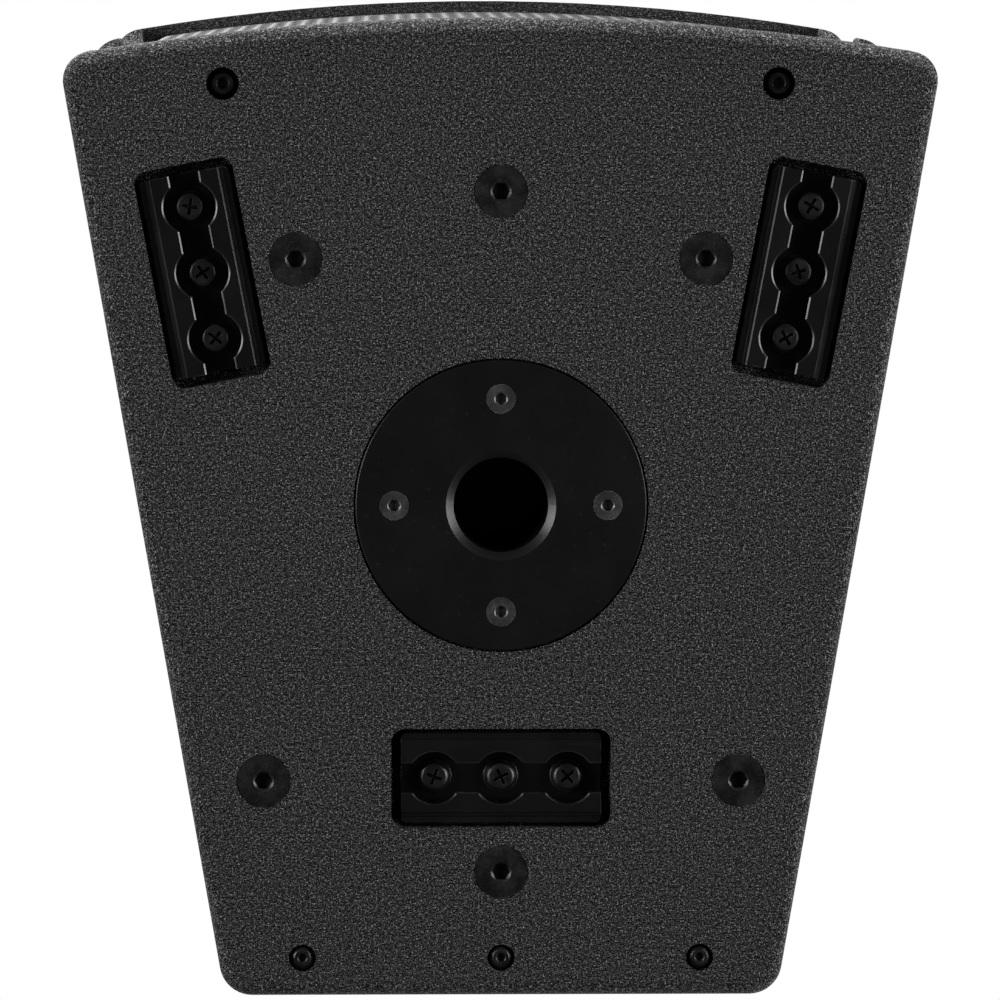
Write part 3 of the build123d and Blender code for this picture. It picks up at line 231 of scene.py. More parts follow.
def metal(name, colour, roughness, grain_scale, wear):
    """Bare, plated or blackened steel with tool marks, smudges and bright worn edges."""
    shade = Shade(name)
    marks = shade.noise(grain_scale, 3.0, 0.6)
    smudge = shade.noise(120, 4.0, 0.6)
    flecks = shade.ramp(marks, 0.50, 0.72)
    worn = shade.math("MULTIPLY", shade.edges(0.0004), shade.ramp(shade.noise(300, 3), 0.4, 0.65))
    tone = shade.mix(smudge, tuple(c * 0.7 for c in colour), tuple(min(1, c * 1.2) for c in colour))
    tone = shade.mix(shade.math("MULTIPLY", flecks, 0.6), tone, tuple(min(1, c * 2.4) for c in colour))
    tone = shade.mix(shade.math("MULTIPLY", worn, 0.7), tone, wear)
    return shade.surface(
        Base_Color=tone,
        Metallic=0.9,
        Roughness=shade.ramp(smudge, 0.3, 0.7, roughness - 0.08, roughness + 0.1),
        Normal=shade.bump(marks, 0.0001, 0.6),
    )


def plastic(name, colour, roughness, grain_scale=1500, depth=0.00006):
    """Moulded plastic with a fine spark-eroded grain."""
    shade = Shade(name)
    grain = shade.cells(grain_scale)
    cloud = shade.noise(35, 3.0, 0.6)
    tone = shade.mix(cloud, tuple(c * 0.75 for c in colour), tuple(min(1, c * 1.3) for c in colour))
    return shade.surface(
        Base_Color=tone,
        Roughness=shade.ramp(cloud, 0.3, 0.7, roughness - 0.05, roughness + 0.06),
        Normal=shade.bump(grain, depth, 0.5),
    )


def plywood(name, light, dark):
    """Plywood: long grain along Z, with darker streaks and pores."""
    shade = Shade(name)
    grain = shade.noise(1, 5.0, 0.6, shade.stretch((90, 90, 9)), 0.6)
    pores = shade.noise(1, 2.0, 0.5, shade.stretch((1600, 1600, 90)))
    tone = shade.mix(shade.ramp(grain, 0.3, 0.7), light, dark)
    pore_share = shade.math("MULTIPLY", shade.ramp(pores, 0.55, 0.75), 0.4)
    tone = shade.mix(pore_share, tone, tuple(c * 0.5 for c in dark))
    return shade.surface(
        Base_Color=tone,
        Roughness=shade.ramp(grain, 0.2, 0.8, 0.6, 0.8),
        Normal=shade.bump(pores, 0.00008, 0.5),
    )


def foam(name, colour):
    """Open-cell foam: deep irregular pores between thin struts, the pores coloured darker as painted shade.
    """
    shade = Shade(name)
    pores = shade.cells(900, "DISTANCE_TO_EDGE")
    hole = shade.ramp(pores, 0.02, 0.22)
    # Painted shade: the pores are coloured far darker than the struts, for the shade inside them; the same
    # pore mask sets the bump's depth.
    tone = shade.mix(hole, tuple(c * 2.2 for c in colour), tuple(c * 0.3 for c in colour))
    return shade.surface(
        Base_Color=tone,
        Roughness=0.95,
        Specular_IOR_Level=0.2,
        Normal=shade.bump(hole, -0.0006, 0.9),
    )


def cloth(name, colour):
    """Doped cloth: a plain weave sealed with a soft, slightly glossy coat."""
    shade = Shade(name)
    weave = shade.node("ShaderNodeTexWave", wave_type="BANDS", bands_direction="X")
    shade.feed(weave.inputs["Vector"], shade.place)
    shade.feed(weave.inputs["Scale"], 400.0)
    cross = shade.node("ShaderNodeTexWave", wave_type="BANDS", bands_direction="Z")
    shade.feed(cross.inputs["Vector"], shade.place)
    shade.feed(cross.inputs["Scale"], 400.0)
    threads = shade.math("MULTIPLY", weave.outputs["Fac"], cross.outputs["Fac"])
    cloud = shade.noise(60, 3)
    tone = shade.mix(threads, colour, tuple(c * 1.8 for c in colour))
    return shade.surface(
        Base_Color=tone,
        Roughness=shade.ramp(cloud, 0.3, 0.7, 0.5, 0.7),
        Normal=shade.bump(threads, 0.00012, 0.6),
    )


def paper_cone():
    """Pressed paper pulp with short fibres under a thin coating."""
    shade = Shade("paper_cone")
    fibre = shade.noise(1, 3.0, 0.7, shade.stretch((420, 420, 420)), 2.5)
    cloud = shade.noise(40, 3)
    tone = shade.mix(fibre, (0.018, 0.018, 0.018), (0.055, 0.053, 0.05))
    return shade.surface(
        Base_Color=tone,
        Roughness=shade.ramp(cloud, 0.3, 0.7, 0.6, 0.78),
        Normal=shade.bump(fibre, 0.00025, 0.6),
    )


def ferrite():
    """Sintered ferrite: dark grey, matt, with fine pits."""
    shade = Shade("ferrite_magnet")
    pits = shade.cells(1400)
    cloud = shade.noise(50, 4)
    tone = shade.mix(cloud, (0.05, 0.05, 0.055), (0.10, 0.10, 0.11))
    return shade.surface(
        Base_Color=tone,
        Roughness=shade.ramp(cloud, 0.3, 0.7, 0.55, 0.75),
        Normal=shade.bump(pits, 0.0001, 0.5),
    )


def winding(name, light, dark, pitch_scale, direction):
    """Wire or tape wound side by side, seen as fine bands."""
    shade = Shade(name)
    bands = shade.node("ShaderNodeTexWave", wave_type="BANDS", bands_direction=direction)
    shade.feed(bands.inputs["Vector"], shade.place)
    shade.feed(bands.inputs["Scale"], float(pitch_scale))
    shade.feed(bands.inputs["Distortion"], 0.6)
    cloud = shade.noise(80, 3)
    tone = shade.mix(bands.outputs["Fac"], dark, light)
    return shade.surface(
        Base_Color=tone,
        Roughness=shade.ramp(cloud, 0.3, 0.7, 0.3, 0.5),
        Normal=shade.bump(bands.outputs["Fac"], 0.0002, 0.6),
    )


def circuit_board():
    """Green solder mask over copper tracks, with pale pads."""
    shade = Shade("circuit_board")
    tracks = shade.node("ShaderNodeTexVoronoi", feature="DISTANCE_TO_EDGE", distance="MANHATTAN")
    shade.feed(tracks.inputs["Vector"], shade.stretch((1, 0.01, 1)))
    shade.feed(tracks.inputs["Scale"], 170.0)
    copper = shade.ramp(tracks.outputs["Distance"], 0.05, 0.09, 1.0, 0.0)
    pads = shade.ramp(shade.cells(260, place=shade.stretch((1, 0.01, 1))), 0.10, 0.14, 1.0, 0.0)
    tone = shade.mix(copper, (0.006, 0.045, 0.018), (0.02, 0.10, 0.04))
    tone = shade.mix(pads, tone, (0.5, 0.48, 0.42))
    return shade.surface(
        Base_Color=tone,
        Metallic=shade.math("MULTIPLY", pads, 0.9),
        Roughness=0.35,
        Normal=shade.bump(copper, 0.00004, 0.5),
    )


def lamp_lens():
    """Three tinted lenses side by side along X: red, amber and green."""
    shade = Shade("lamp_lens")
    parts = shade.node("ShaderNodeSeparateXYZ")
    shade.feed(parts.inputs["Vector"], shade.place)
    x = parts.outputs["X"]
    ribs = shade.cells(2400)
    warm = shade.mix(shade.ramp(x, 0.006, 0.008), (0.55, 0.25, 0.02), (0.05, 0.42, 0.08))
    tone = shade.mix(shade.ramp(x, -0.008, -0.006), (0.45, 0.02, 0.015), warm)
    return shade.surface(
        Base_Color=tone,
        Roughness=0.18,
        Coat_Weight=0.6,
        Normal=shade.bump(ribs, 0.00003, 0.3),
    )


paint(textured_paint(), "bottom_panel", "top_panel", "left_side_panel", "right_side_panel")
paint(plywood("black_painted_plywood", (0.02, 0.02, 0.02), (0.012, 0.012, 0.012)), "baffle")
paint(plywood("raw_plywood", (0.62, 0.45, 0.27), (0.42, 0.27, 0.14)), "window_brace", "rear_battens")
paint(powder_coat("black_steel_cup", (0.0015, 0.0015, 0.0016), 1800, 0.00003, 0.36, 0.05, 0.36), "pole_cup")
TRACK_NODES = [name for name in NODES if name.startswith("fly_track_") and name != "fly_track_screws"]
paint(anodised("black_anodised_track", (0.0040, 0.0040, 0.0041), (900, 900, 900), 0.27), *TRACK_NODES)
paint(
    metal("black_screw_steel", (0.034, 0.034, 0.035), 0.36, 1900, (0.4, 0.4, 0.4)),
    "fly_track_screws", "grille_screws", "rear_module_screws",
    "handle_screws", "driver_screws", "socket_screws",
)
paint(metal("oiled_black_steel", (0.033, 0.033, 0.034), 0.38, 1200, (0.45, 0.45, 0.45)), "rigging_screws")
paint(metal("dull_plated_steel", (0.085, 0.085, 0.087), 0.42, 2200, (0.6, 0.6, 0.6)), "pole_cup_screws")
paint(
    metal("zinc_plated_steel", (0.55, 0.55, 0.56), 0.34, 700, (0.75, 0.75, 0.75)),
    "rigging_inserts", "track_backing_plates", "woofer_front_plate", "woofer_yoke",
)
GRILLE_PAINT = powder_coat("grille_steel", (0.012, 0.012, 0.012), 1500, 0.00002, 0.36)
FOAM = foam("open_cell_foam", (0.012, 0.012, 0.012))
paint(powder_coat("black_cast_frame", (0.014, 0.014, 0.014), 500, 0.00008, 0.5), "woofer_basket")
paint(ferrite(), "woofer_magnet")
paint(paper_cone(), "woofer_cone", "woofer_dust_cap")
CLOTH = cloth("treated_cloth", (0.012, 0.012, 0.012))
paint(winding("copper_coil", (0.75, 0.35, 0.16), (0.32, 0.12, 0.05), 900, "Y"), "woofer_voice_coil")
paint(
    plastic("moulded_plastic", (0.018, 0.018, 0.019), 0.52),
    "horn", "port_lower_left", "port_lower_right", "port_upper_left", "port_upper_right",
    "handle_cup_left", "handle_cup_right",
)
paint(powder_coat("driver_casting", (0.05, 0.05, 0.055), 400, 0.0001, 0.45), "compression_driver")
paint(powder_coat("tray_paint", (0.011, 0.011, 0.0115), 1100, 0.00007, 0.55), "rear_tray")
paint(anodised("black_heat_sink", (0.010, 0.010, 0.011), (2600, 2600, 40), 0.4), "heat_sink")
paint(circuit_board(), "amplifier_board", "input_board")
paint(plastic("capacitor_sleeve", (0.012, 0.02, 0.07), 0.25, 300, 0.00002), "reservoir_capacitors")
paint(
    winding("transformer_wrap", (0.62, 0.46, 0.12), (0.36, 0.25, 0.05), 110, "DIAGONAL"),
    "power_transformer",
)
paint(
    plastic("socket_plastic", (0.012, 0.012, 0.0125), 0.32, 900, 0.00002),
    "combo_input_socket", "link_output_socket", "mains_inlet", "switch_frame",
)
paint(
    plastic("control_plastic", (0.02, 0.02, 0.02), 0.45, 1800, 0.00003),
    "level_knob", "low_cut_button", "mic_line_button", "power_rocker",
)
paint(lamp_lens(), "status_lamps")


# ------------------------------------------------------------------ mesh building blocks
def add_piece(name, mesh, material, slot, *replaced):
    """A new mesh object in the row frame, in place of CAD nodes."""
    mesh.materials.append(material)
    piece = bpy.data.objects.new(name, mesh)
    bpy.context.scene.collection.objects.link(piece)
    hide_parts(*replaced)
    return piece


def circle(radius, sides):
    """Points evenly round a circle."""
    angles = [2 * math.pi * side / sides for side in range(sides)]
    return [(radius * math.cos(angle), radius * math.sin(angle)) for angle in angles]


def rounded_square(sides, power):
    """Points round a square of half-side 1, with rounder corners the lower the power."""
    points = []
    for across, along in circle(1, sides):
        reach = (abs(across) ** power + abs(along) ** power) ** (-1 / power)
        points.append((reach * across, reach * along))
    return points


def mesh_from(name, points, faces):
    """A smooth mesh, with meeting points joined and every face turned outwards."""
    mesh = bpy.data.meshes.new(name)
    mesh.from_pydata(points, [], faces)
    mesh.update()
    work = bmesh.new()
    work.from_mesh(mesh)
    bmesh.ops.remove_doubles(work, verts=work.verts, dist=1e-6)
    bmesh.ops.recalc_face_normals(work, faces=work.faces)
    work.to_mesh(mesh)
    work.free()
    mesh.polygons.foreach_set("use_smooth", [True] * len(mesh.polygons))
    return mesh


def lathe(name, profile, centre, turns=128):
    """Turn a closed outline of (radius, depth) points about the axis through centre along +Y."""
    points = []
    for across, up in circle(1, turns):
        for radius, depth in profile:
            points.append((centre[0] + radius * across, centre[1] + depth, centre[2] + radius * up))
    count = len(profile)
    faces = []
    for turn in range(turns):
        here, after = turn * count, (turn + 1) % turns * count
        for step in range(count):
            following = (step + 1) % count
            faces.append((here + step, here + following, after + following, after + step))
    return mesh_from(name, points, faces)


def skin_profile(line, thickness):
    """The closed outline of a thin sheet about an open (radius, depth) line."""
    front, back = [], []
    for index, (radius, depth) in enumerate(line):
        before = line[max(index - 1, 0)]
        after = line[min(index + 1, len(line) - 1)]
        run, rise = after[0] - before[0], after[1] - before[1]
        length = math.hypot(run, rise)
        across = (-rise / length * thickness / 2, run / length * thickness / 2)
        front.append((radius - across[0], depth - across[1]))
        back.append((radius + across[0], depth + across[1]))
    return front + back[::-1]


# ------------------------------------------------------------------ grille
GRILLE_LOW, GRILLE_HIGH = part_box("grille")
FRONT_RADIUS = 952 * MM
FRONT_CENTRE_Y = GRILLE_LOW.y + FRONT_RADIUS
SHEET = 1.2 * MM
BEND = 4 * MM
HOLE_RADIUS = 3.0 * MM
HOLE_PITCH = 8.0 * MM
HOLE_SIDES = 12
PLAIN_BORDER = (4 * MM, 6 * MM)
BEND_STEPS = 8
CLOSE = 0.01 * MM
JOINED = 0.005 * MM
BLOCK_REACH = (10 * MM, 8 * MM)
BLOCK_HEIGHT = 11 * MM
BLOCK_SIDES = 32
BEND_ANGLE = math.asin((GRILLE_HIGH.x - BEND) / (FRONT_RADIUS - BEND))
HALF_ARC = FRONT_RADIUS * BEND_ANGLE
SCREW_LOW, SCREW_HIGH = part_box("grille_screws")
SCREW_HEAD = 4.25 * MM
SCREW_HOLE = 2.55 * MM
SCREW_SPOTS = [
    (side * (SCREW_HIGH.x - SCREW_HEAD), (SCREW_LOW.y + SCREW_HIGH.y) / 2) for side in (-1, 1)
]


def on_front(across, inset=0.0):
    """A point's (x, y) on the grille's arc, across metres along it and inset behind its face."""
    angle = across / FRONT_RADIUS
    radius = FRONT_RADIUS - inset
    return radius * math.sin(angle), FRONT_CENTRE_Y - radius * math.cos(angle)


def hexagon_corners(work, u, v):
    """The corners of a hole's cell, a hexagon standing on a flat side."""
    reach = HOLE_PITCH / 2 / math.cos(math.pi / 6)
    return [work.verts.new((u + du, v + dv, 0)) for du, dv in circle(reach, 6)]


def holed_cell(work, u, v):
    """One cell with a round hole in it."""
    ring = [work.verts.new((u + du, v + dv, 0)) for du, dv in circle(HOLE_RADIUS, HOLE_SIDES)]
    cell = hexagon_corners(work, u, v)
    for corner in range(6):
        a, b = cell[corner], cell[(corner + 1) % 6]
        p, q, r = (ring[(corner * 2 + step) % HOLE_SIDES] for step in (0, 1, 2))
        work.faces.new((a, q, p))
        work.faces.new((a, b, q))
        work.faces.new((b, r, q))


def flat_sheet():
    """The grille's face laid flat: holes staggered at 60 degrees, and a plain border."""
    column_pitch = HOLE_PITCH * math.sin(math.pi / 3)
    height = GRILLE_HIGH.z - GRILLE_LOW.z
    columns = int((HALF_ARC - PLAIN_BORDER[0]) / column_pitch)
    rows = int((height - 2 * PLAIN_BORDER[1]) / HOLE_PITCH)
    middle = (GRILLE_LOW.z + GRILLE_HIGH.z) / 2
    work = bmesh.new()
    for column in range(-columns - 2, columns + 3):
        odd = column % 2
        for row in range(-2, rows + 2):
            u = column * column_pitch
            v = middle + (row - (rows - 1) / 2 + 0.5 * odd) * HOLE_PITCH
            if abs(column) <= columns and 0 <= row < rows - odd:
                holed_cell(work, u, v)
            else:
                work.faces.new(hexagon_corners(work, u, v))
    bmesh.ops.remove_doubles(work, verts=work.verts, dist=JOINED)
    for axis, low, high in ((0, -HALF_ARC, HALF_ARC), (1, GRILLE_LOW.z, GRILLE_HIGH.z)):
        for limit, direction in ((low, -1), (high, 1)):
            spot, normal = [0, 0, 0], [0, 0, 0]
            spot[axis], normal[axis] = limit, direction
            everything = work.verts[:] + work.edges[:] + work.faces[:]
            bmesh.ops.bisect_plane(work, geom=everything, plane_co=spot, plane_no=normal, clear_outer=True)
    return work


def side_line():
    """Plan points from the end of the front's arc round the bend and back along the flange."""
    start_x, start_y = on_front(HALF_ARC)
    centre_x = start_x - BEND * math.sin(BEND_ANGLE)
    centre_y = start_y + BEND * math.cos(BEND_ANGLE)
    line = []
    for step in range(1, BEND_STEPS + 1):
        angle = BEND_ANGLE + (math.pi / 2 - BEND_ANGLE) * step / BEND_STEPS
        line.append((centre_x + BEND * math.sin(angle), centre_y - BEND * math.cos(angle)))
    line.append((GRILLE_HIGH.x, GRILLE_HIGH.y))
    return line


def fold_grille():
    """The perforated front with its side bends and flanges, and its end flanges."""
    work = flat_sheet()
    for vert in work.verts:
        x, y = on_front(vert.co.x)
        vert.co = (x, y, vert.co.y)
    edge_x = on_front(HALF_ARC)[0]
    for side in (-1, 1):
        last = [v for v in work.verts if abs(v.co.x - side * edge_x) < CLOSE]
        last.sort(key=lambda v: v.co.z)
        for x, y in side_line():
            following = [work.verts.new((side * x, y, vert.co.z)) for vert in last]
            for index in range(len(last) - 1):
                work.faces.new((last[index], last[index + 1], following[index + 1], following[index]))
            last = following
    for level in (GRILLE_LOW.z, GRILLE_HIGH.z):
        outline = []
        for edge in work.edges:
            if edge.is_boundary and all(abs(v.co.z - level) < CLOSE for v in edge.verts):
                outline.append(edge)
        rim = {v for edge in outline for v in edge.verts}
        ends = sorted((v for v in rim if v.co.y > GRILLE_HIGH.y - CLOSE), key=lambda v: v.co.x)
        outline.append(work.edges.new(ends))
        for x, y in SCREW_SPOTS:
            ring = [work.verts.new((x + dx, y + dy, level)) for dx, dy in circle(SCREW_HOLE, 24)]
            outline += [work.edges.new((ring[index - 1], ring[index])) for index in range(len(ring))]
        bmesh.ops.triangle_fill(work, edges=outline, use_beauty=True)
    bmesh.ops.remove_doubles(work, verts=work.verts, dist=JOINED)
    bmesh.ops.recalc_face_normals(work, faces=work.faces)
    return work


def nut_block(x, y, level, inward):
    """A rounded block that takes a grille screw: its points, and its faces as their numbers."""
    profile = [(False, 0), (True, 0), (True, BLOCK_HEIGHT), (False, BLOCK_HEIGHT)]
    points = []
    bore = circle(SCREW_HOLE, BLOCK_SIDES)
    wall = [(BLOCK_REACH[0] * a, BLOCK_REACH[1] * b) for a, b in rounded_square(BLOCK_SIDES, 5)]
    for inner, outer in zip(bore, wall):
        for outside, depth in profile:
            across, along = outer if outside else inner
            points.append((x + across, y + along, level + inward * depth))
    faces = []
    count = len(profile)
    for side in range(BLOCK_SIDES):
        here, after = side * count, (side + 1) % BLOCK_SIDES * count
        for step in range(count):
            following = (step + 1) % count
            faces.append((here + step, here + following, after + following, after + step))
    return points, faces


def build_grille():
    """The folded sheet given its thickness, with a nut block at each of its four screws."""
    work = fold_grille()
    mesh = bpy.data.meshes.new("grille_sheet")
    work.to_mesh(mesh)
    work.free()
    sheet = bpy.data.objects.new("perforated_grille", mesh)
    bpy.context.scene.collection.objects.link(sheet)
    solid = sheet.modifiers.new("thickness", "SOLIDIFY")
    solid.thickness = SHEET
    solid.offset = -1
    solid.use_even_offset = True
    shown = sheet.evaluated_get(bpy.context.evaluated_depsgraph_get())
    final = bpy.data.meshes.new_from_object(shown)
    whole = bmesh.new()
    whole.from_mesh(final)
    for x, y in SCREW_SPOTS:
        for level, inward in ((GRILLE_LOW.z + SHEET, 1), (GRILLE_HIGH.z - SHEET, -1)):
            points, faces = nut_block(x, y, level, inward)
            verts = [whole.verts.new(point) for point in points]
            block = [whole.faces.new([verts[index] for index in face]) for face in faces]
            bmesh.ops.recalc_face_normals(whole, faces=block)
    whole.to_mesh(final)
    whole.free()
    final.name = "perforated_grille"
    bpy.data.objects.remove(sheet)
    piece = add_piece("perforated_grille", final, GRILLE_PAINT, "grille_steel", "grille")
    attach(piece, "cabinet")


# ------------------------------------------------------------------ foam and gaskets
def build_foam():
    """The thin sheet of open-cell foam behind the grille, cut away round the grille's nut blocks."""
    low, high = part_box("grille_foam")
    inset = low.y - GRILLE_LOW.y
    thickness = 6 * MM
    trim = 0.4 * MM
    pinch = 0.8 * MM
    ripple = 0.12 * MM
    half = FRONT_RADIUS * math.asin((high.x - trim) / FRONT_RADIUS)
    bottom, top = low.z + trim, high.z - trim
    across, up = 72, 132
    clear = 12 * MM

    def kept(column, row):
        if not (0 <= column < across and 0 <= row < up):
            return False
        u = -half + 2 * half * (column + 0.5) / across
        v = bottom + (top - bottom) * (row + 0.5) / up
        beside_block = any(abs(u - x) < clear for x, y in SCREW_SPOTS)
        return not (beside_block and min(v - bottom, top - v) < clear)

    def corner(column, row, face):
        u = -half + 2 * half * column / across
        v = bottom + (top - bottom) * row / up
        wave = math.sin(u * 61 + v * 23) + math.sin(v * 47 - u * 29) + math.sin(u * 140 + v * 95)
        around = [kept(column - i, row - j) for i in (0, 1) for j in (0, 1)]
        tuck = ripple * (wave + 3) + (0 if all(around) else pinch)
        x, y = on_front(u, inset + (thickness - tuck if face else tuck))
        return x, y, v

    points, faces = [], []
    for column in range(across):
        for row in range(up):
            if not kept(column, row):
                continue
            spots = [(column, row), (column + 1, row), (column + 1, row + 1), (column, row + 1)]
            quads = [[corner(*spot, 0) for spot in spots], [corner(*spot, 1) for spot in spots[::-1]]]
            beyond = [(column, row - 1), (column + 1, row), (column, row + 1), (column - 1, row)]
            for side, neighbour in enumerate(beyond):
                if not kept(*neighbour):
                    a, b = spots[side], spots[(side + 1) % 4]
                    quads.append([corner(*b, 0), corner(*a, 0), corner(*a, 1), corner(*b, 1)])
            for quad in quads:
                faces.append(tuple(range(len(points), len(points) + 4)))
                points += quad
    mesh = mesh_from("foam_sheet", points, faces)
    piece = add_piece("foam_sheet", mesh, FOAM, "open_cell_foam", "grille_foam")
    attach(piece, "cabinet")


def build_woofer_gasket():
    """A flat foam ring with soft edges, dimpled where the screws pull it down."""
    low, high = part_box("woofer_gasket")
    centre = ((low.x + high.x) / 2, 0, (low.z + high.z) / 2)
    outer, inner = (high.x - low.x) / 2, 118 * MM
    middle, half = (outer + inner) / 2, (outer - inner) / 2
    depth_middle, depth_half = (low.y + high.y) / 2, (high.y - low.y) / 2
    profile = [(middle + half * a, depth_middle + depth_half * b) for a, b in rounded_square(20, 6)]
    mesh = lathe("frame_gasket", profile, centre)
    screw_spacing = math.pi / 4
    dimple_reach = 6 * MM
    dimple_depth = 0.9 * MM
    for vert in mesh.vertices:
        angle = math.atan2(vert.co.z - centre[2], vert.co.x)
        turns = (angle / screw_spacing - 0.5) % 1
        from_screw = min(turns, 1 - turns) * screw_spacing * middle
        if vert.co.y < depth_middle:
            vert.co.y += dimple_depth * math.exp(-((from_screw / dimple_reach) ** 2))
    piece = add_piece("frame_gasket", mesh, FOAM, "open_cell_foam", "woofer_gasket")
    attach(piece, "cabinet")


def build_tray_gasket():
    """Two strips of sealing foam, pressed flat between the tray and its battens."""
    low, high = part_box("tray_gasket")
    width = 14 * MM
    rings, sides = 96, 12
    end_tapers = (0.55, 0.85)
    middle_y, half_y = (low.y + high.y) / 2, (high.y - low.y) / 2
    points, faces = [], []
    for side, outer in ((-1, low.x), (1, high.x)):
        centre_x = outer - side * width / 2
        first = len(points)
        for ring in range(rings + 1):
            share = ring / rings
            z = low.z + (high.z - low.z) * share
            from_end = min(share, 1 - share) * rings
            taper = end_tapers[int(from_end)] if from_end < len(end_tapers) else 1.0
            swell = 0.9 + 0.1 * math.sin(ring * 0.9 + side)
            reach_x, reach_y = width / 2 * taper * swell, half_y * taper
            for across, along in rounded_square(sides, 4):
                points.append((centre_x + reach_x * across, middle_y + reach_y * along, z))
        for ring in range(rings):
            start = first + ring * sides
            for step in range(sides):
                a, b = start + step, start + (step + 1) % sides
                faces.append((a, b, b + sides, a + sides))
        for start in (first, first + rings * sides):
            faces.append(tuple(range(start, start + sides)))
    mesh = mesh_from("tray_seal", points, faces)
    piece = add_piece("tray_seal", mesh, FOAM, "open_cell_foam", "tray_gasket")
    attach(piece, "cabinet")


# ------------------------------------------------------------------ surround and spider
def build_suspension(name, node, line, thickness, inner, outer):
    """A moulded cloth ring, which moves with the cone inside inner and stays still outside outer."""
    low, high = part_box(node)
    centre = ((low.x + high.x) / 2, 0, (low.z + high.z) / 2)
    mesh = lathe(name, skin_profile(line, thickness), centre, 160)
    piece = add_piece(name, mesh, CLOTH, "treated_cloth", node)
    start = (centre[0] + outer, line[-1][1], centre[2])
    end = (centre[0] + inner, line[0][1], centre[2])
    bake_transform(piece, "cabinet", "woofer_moving_parts", start=start, end=end)
    shares = piece.data.attributes["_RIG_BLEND"]
    for vert, item in zip(piece.data.vertices, shares.data):
        radius = math.hypot(vert.co.x - centre[0], vert.co.z - centre[2])
        share = min(1, max(0, (outer - radius) / (outer - inner)))
        item.value = share * share * (3 - 2 * share)


def build_surround():
    """A lip glued to the cone, a half roll, and a flat rim on the basket."""
    low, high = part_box("woofer_surround")
    thickness = 0.9 * MM
    inner, outer = 106 * MM, 116 * MM
    roll_middle, roll_half, roll_height = (inner + outer) / 2, (outer - inner) / 2, 6.9 * MM
    flat = low.y + 7 * MM + thickness / 2
    line = [(99.5 * MM, flat + 4.5 * MM), (102.5 * MM, flat + 2.9 * MM), (105 * MM, flat + 0.9 * MM)]
    steps = 24
    for step in range(steps + 1):
        angle = math.pi * step / steps
        radius = roll_middle - roll_half * math.cos(angle)
        line.append((radius, flat - roll_height * math.sin(angle)))
    line += [(117.5 * MM, flat), ((high.x - low.x) / 2, flat)]
    build_suspension("rubber_coated_surround", "woofer_surround", line, thickness, inner, outer)


def build_spider():
    """Five corrugations between the voice coil and a flat rim on the basket."""
    low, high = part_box("woofer_spider")
    thickness = 0.5 * MM
    coil = 26.1 * MM
    inner, outer = 27 * MM, 62 * MM
    middle, wave = (low.y + high.y) / 2, (high.y - low.y) / 2 - 0.3 * MM
    rim = (high.x - low.x) / 2 - 0.2 * MM
    corrugations, steps = 5, 80
    line = []
    for step in range(steps + 1):
        share = step / steps
        fade = min(1, 8 * share, 8 * (1 - share))
        depth = middle + wave * fade * math.sin(2 * math.pi * corrugations * share)
        line.append((coil + (outer - coil) * share, depth))
    line += [(outer + 2 * MM, middle), (rim, middle)]
    build_suspension("corrugated_spider", "woofer_spider", line, thickness, inner, outer)


build_grille()
build_foam()
build_woofer_gasket()
build_tray_gasket()
build_surround()
build_spider()


# ------------------------------------------------------------------ camera
def photo_camera():
    """The photograph's camera: level with the pole cup, looking up at the bottom face."""
    eye = Vector((-0.0443, -0.2201, -2.600))
    target = Vector((-0.0004, -0.0021, 0))
    data = bpy.data.cameras.new("photo_camera")
    data.lens = 247.9
    data.sensor_width = 36
    data.clip_end = 50
    camera = bpy.data.objects.new("photo_camera", data)
    bpy.context.scene.collection.objects.link(camera)
    back = (eye - target).normalized()
    right = Vector((0, -1, 0)).cross(back).normalized()
    up = back.cross(right)
    turned = Matrix((right, up, back)).transposed()
    camera.matrix_world = Matrix.Translation(eye) @ turned.to_4x4()
    bpy.context.scene.camera = camera


photo_camera()


# ------------------------------------------------------------------ studio
FLOOR_REACH = 3.2


def softbox(name, place, target, size, power):
    """A rectangular light aimed at target, which the camera doesn't see."""
    data = bpy.data.lights.new(name, "AREA")
    data.shape = "RECTANGLE"
    data.size, data.size_y = size
    data.energy = power
    light = bpy.data.objects.new(name, data)
    bpy.context.scene.collection.objects.link(light)
    light.location = place
    light.rotation_euler = (Vector(target) - Vector(place)).to_track_quat("-Z", "Y").to_euler()
    light.visible_camera = False


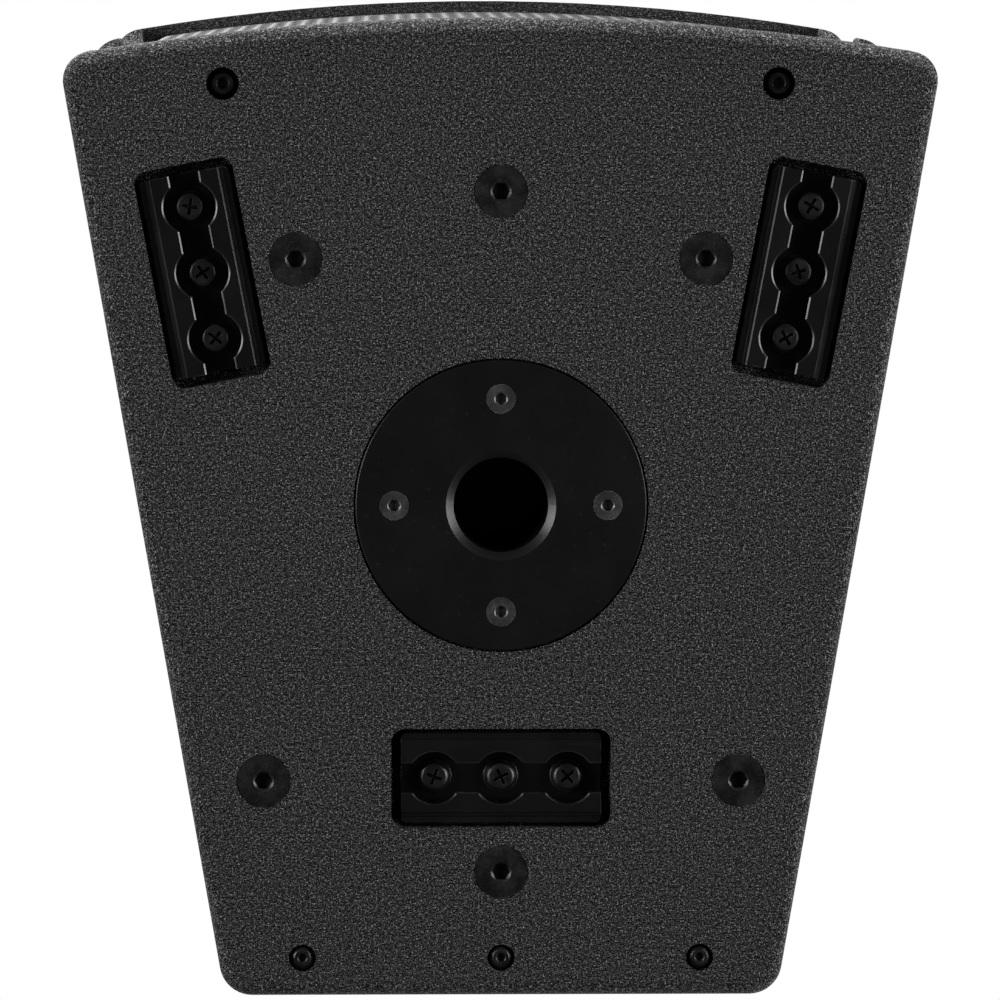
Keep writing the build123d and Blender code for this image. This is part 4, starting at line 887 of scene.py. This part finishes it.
def studio():
    """White surroundings, brighter above and in front, and softboxes on each side."""
    world = bpy.data.worlds.new("studio")
    world.use_nodes = True
    bpy.context.scene.world = world
    tree = world.node_tree
    background = tree.nodes["Background"]
    seen = tree.nodes.new("ShaderNodeLightPath")
    direction = tree.nodes.new("ShaderNodeTexCoord")
    parts = tree.nodes.new("ShaderNodeSeparateXYZ")
    tree.links.new(direction.outputs["Generated"], parts.inputs["Vector"])
    rise = tree.nodes.new("ShaderNodeMapRange")
    rise.inputs["From Min"].default_value = -0.7
    rise.inputs["From Max"].default_value = 0.9
    rise.inputs["To Min"].default_value = 0.03
    rise.inputs["To Max"].default_value = 1.0
    tree.links.new(parts.outputs["Z"], rise.inputs["Value"])
    strength = tree.nodes.new("ShaderNodeMix")
    tree.links.new(seen.outputs["Is Camera Ray"], strength.inputs["Factor"])
    tree.links.new(rise.outputs["Result"], strength.inputs["A"])
    strength.inputs["B"].default_value = 1.0
    background.inputs["Color"].default_value = (1, 1, 1, 1)
    tree.links.new(strength.outputs["Result"], background.inputs["Strength"])

    softbox("left_box", (-1.5, -0.25, -0.45), (0, 0, 0), (0.8, 1.5), 46)
    softbox("right_box", (1.5, -0.15, -0.45), (0, 0, 0), (0.8, 1.5), 50)
    softbox("front_box", (0.3, -4.2, 0.62), (0, 0, 0.3), (2.4, 0.7), 640)
    softbox("top_box", (-0.8, -1.2, 2.0), (0, 0, 0.3), (1.4, 1.0), 34)
    softbox("back_box", (1.1, 1.8, 1.2), (0, 0.1, 0.3), (1.2, 1.2), 26)

    bpy.context.scene.view_settings.view_transform = "Standard"


def floor():
    """A pale floor, fading into the white surroundings, that is clear when seen from below."""
    shade = Shade("floor_paper")
    speckle = shade.noise(60, 3)
    shade.surface(
        Base_Color=shade.mix(speckle, (0.83, 0.83, 0.83), (0.87, 0.87, 0.87)),
        Roughness=0.9,
        Specular_IOR_Level=0.1,
    )
    away = shade.node("ShaderNodeVectorMath", operation="LENGTH")
    shade.feed(away.inputs[0], shade.place)
    faded = shade.ramp(away.outputs["Value"], 0.5, FLOOR_REACH)
    under = shade.node("ShaderNodeNewGeometry").outputs["Backfacing"]
    clear = shade.node("ShaderNodeBsdfTransparent")
    switch = shade.node("ShaderNodeMixShader")
    shade.feed(switch.inputs[0], shade.math("MAXIMUM", faded, under))
    shade.feed(switch.inputs[1], shade.shader.outputs[0])
    shade.feed(switch.inputs[2], clear.outputs[0])
    output = shade.tree.nodes["Material Output"]
    shade.feed(output.inputs["Surface"], switch.outputs[0])
    mesh = bpy.data.meshes.new("floor")
    corners = [(FLOOR_REACH * x, FLOOR_REACH * y, 0) for x, y in ((-1, -1), (1, -1), (1, 1), (-1, 1))]
    mesh.from_pydata(corners, [], [(0, 1, 2, 3)])
    mesh.materials.append(shade.material)
    plane = bpy.data.objects.new("floor", mesh)
    plane.location.z = -0.0004
    bpy.context.scene.collection.objects.link(plane)
    plane.visible_shadow = False
    plane.visible_diffuse = False
    plane.visible_glossy = False


studio()
floor()
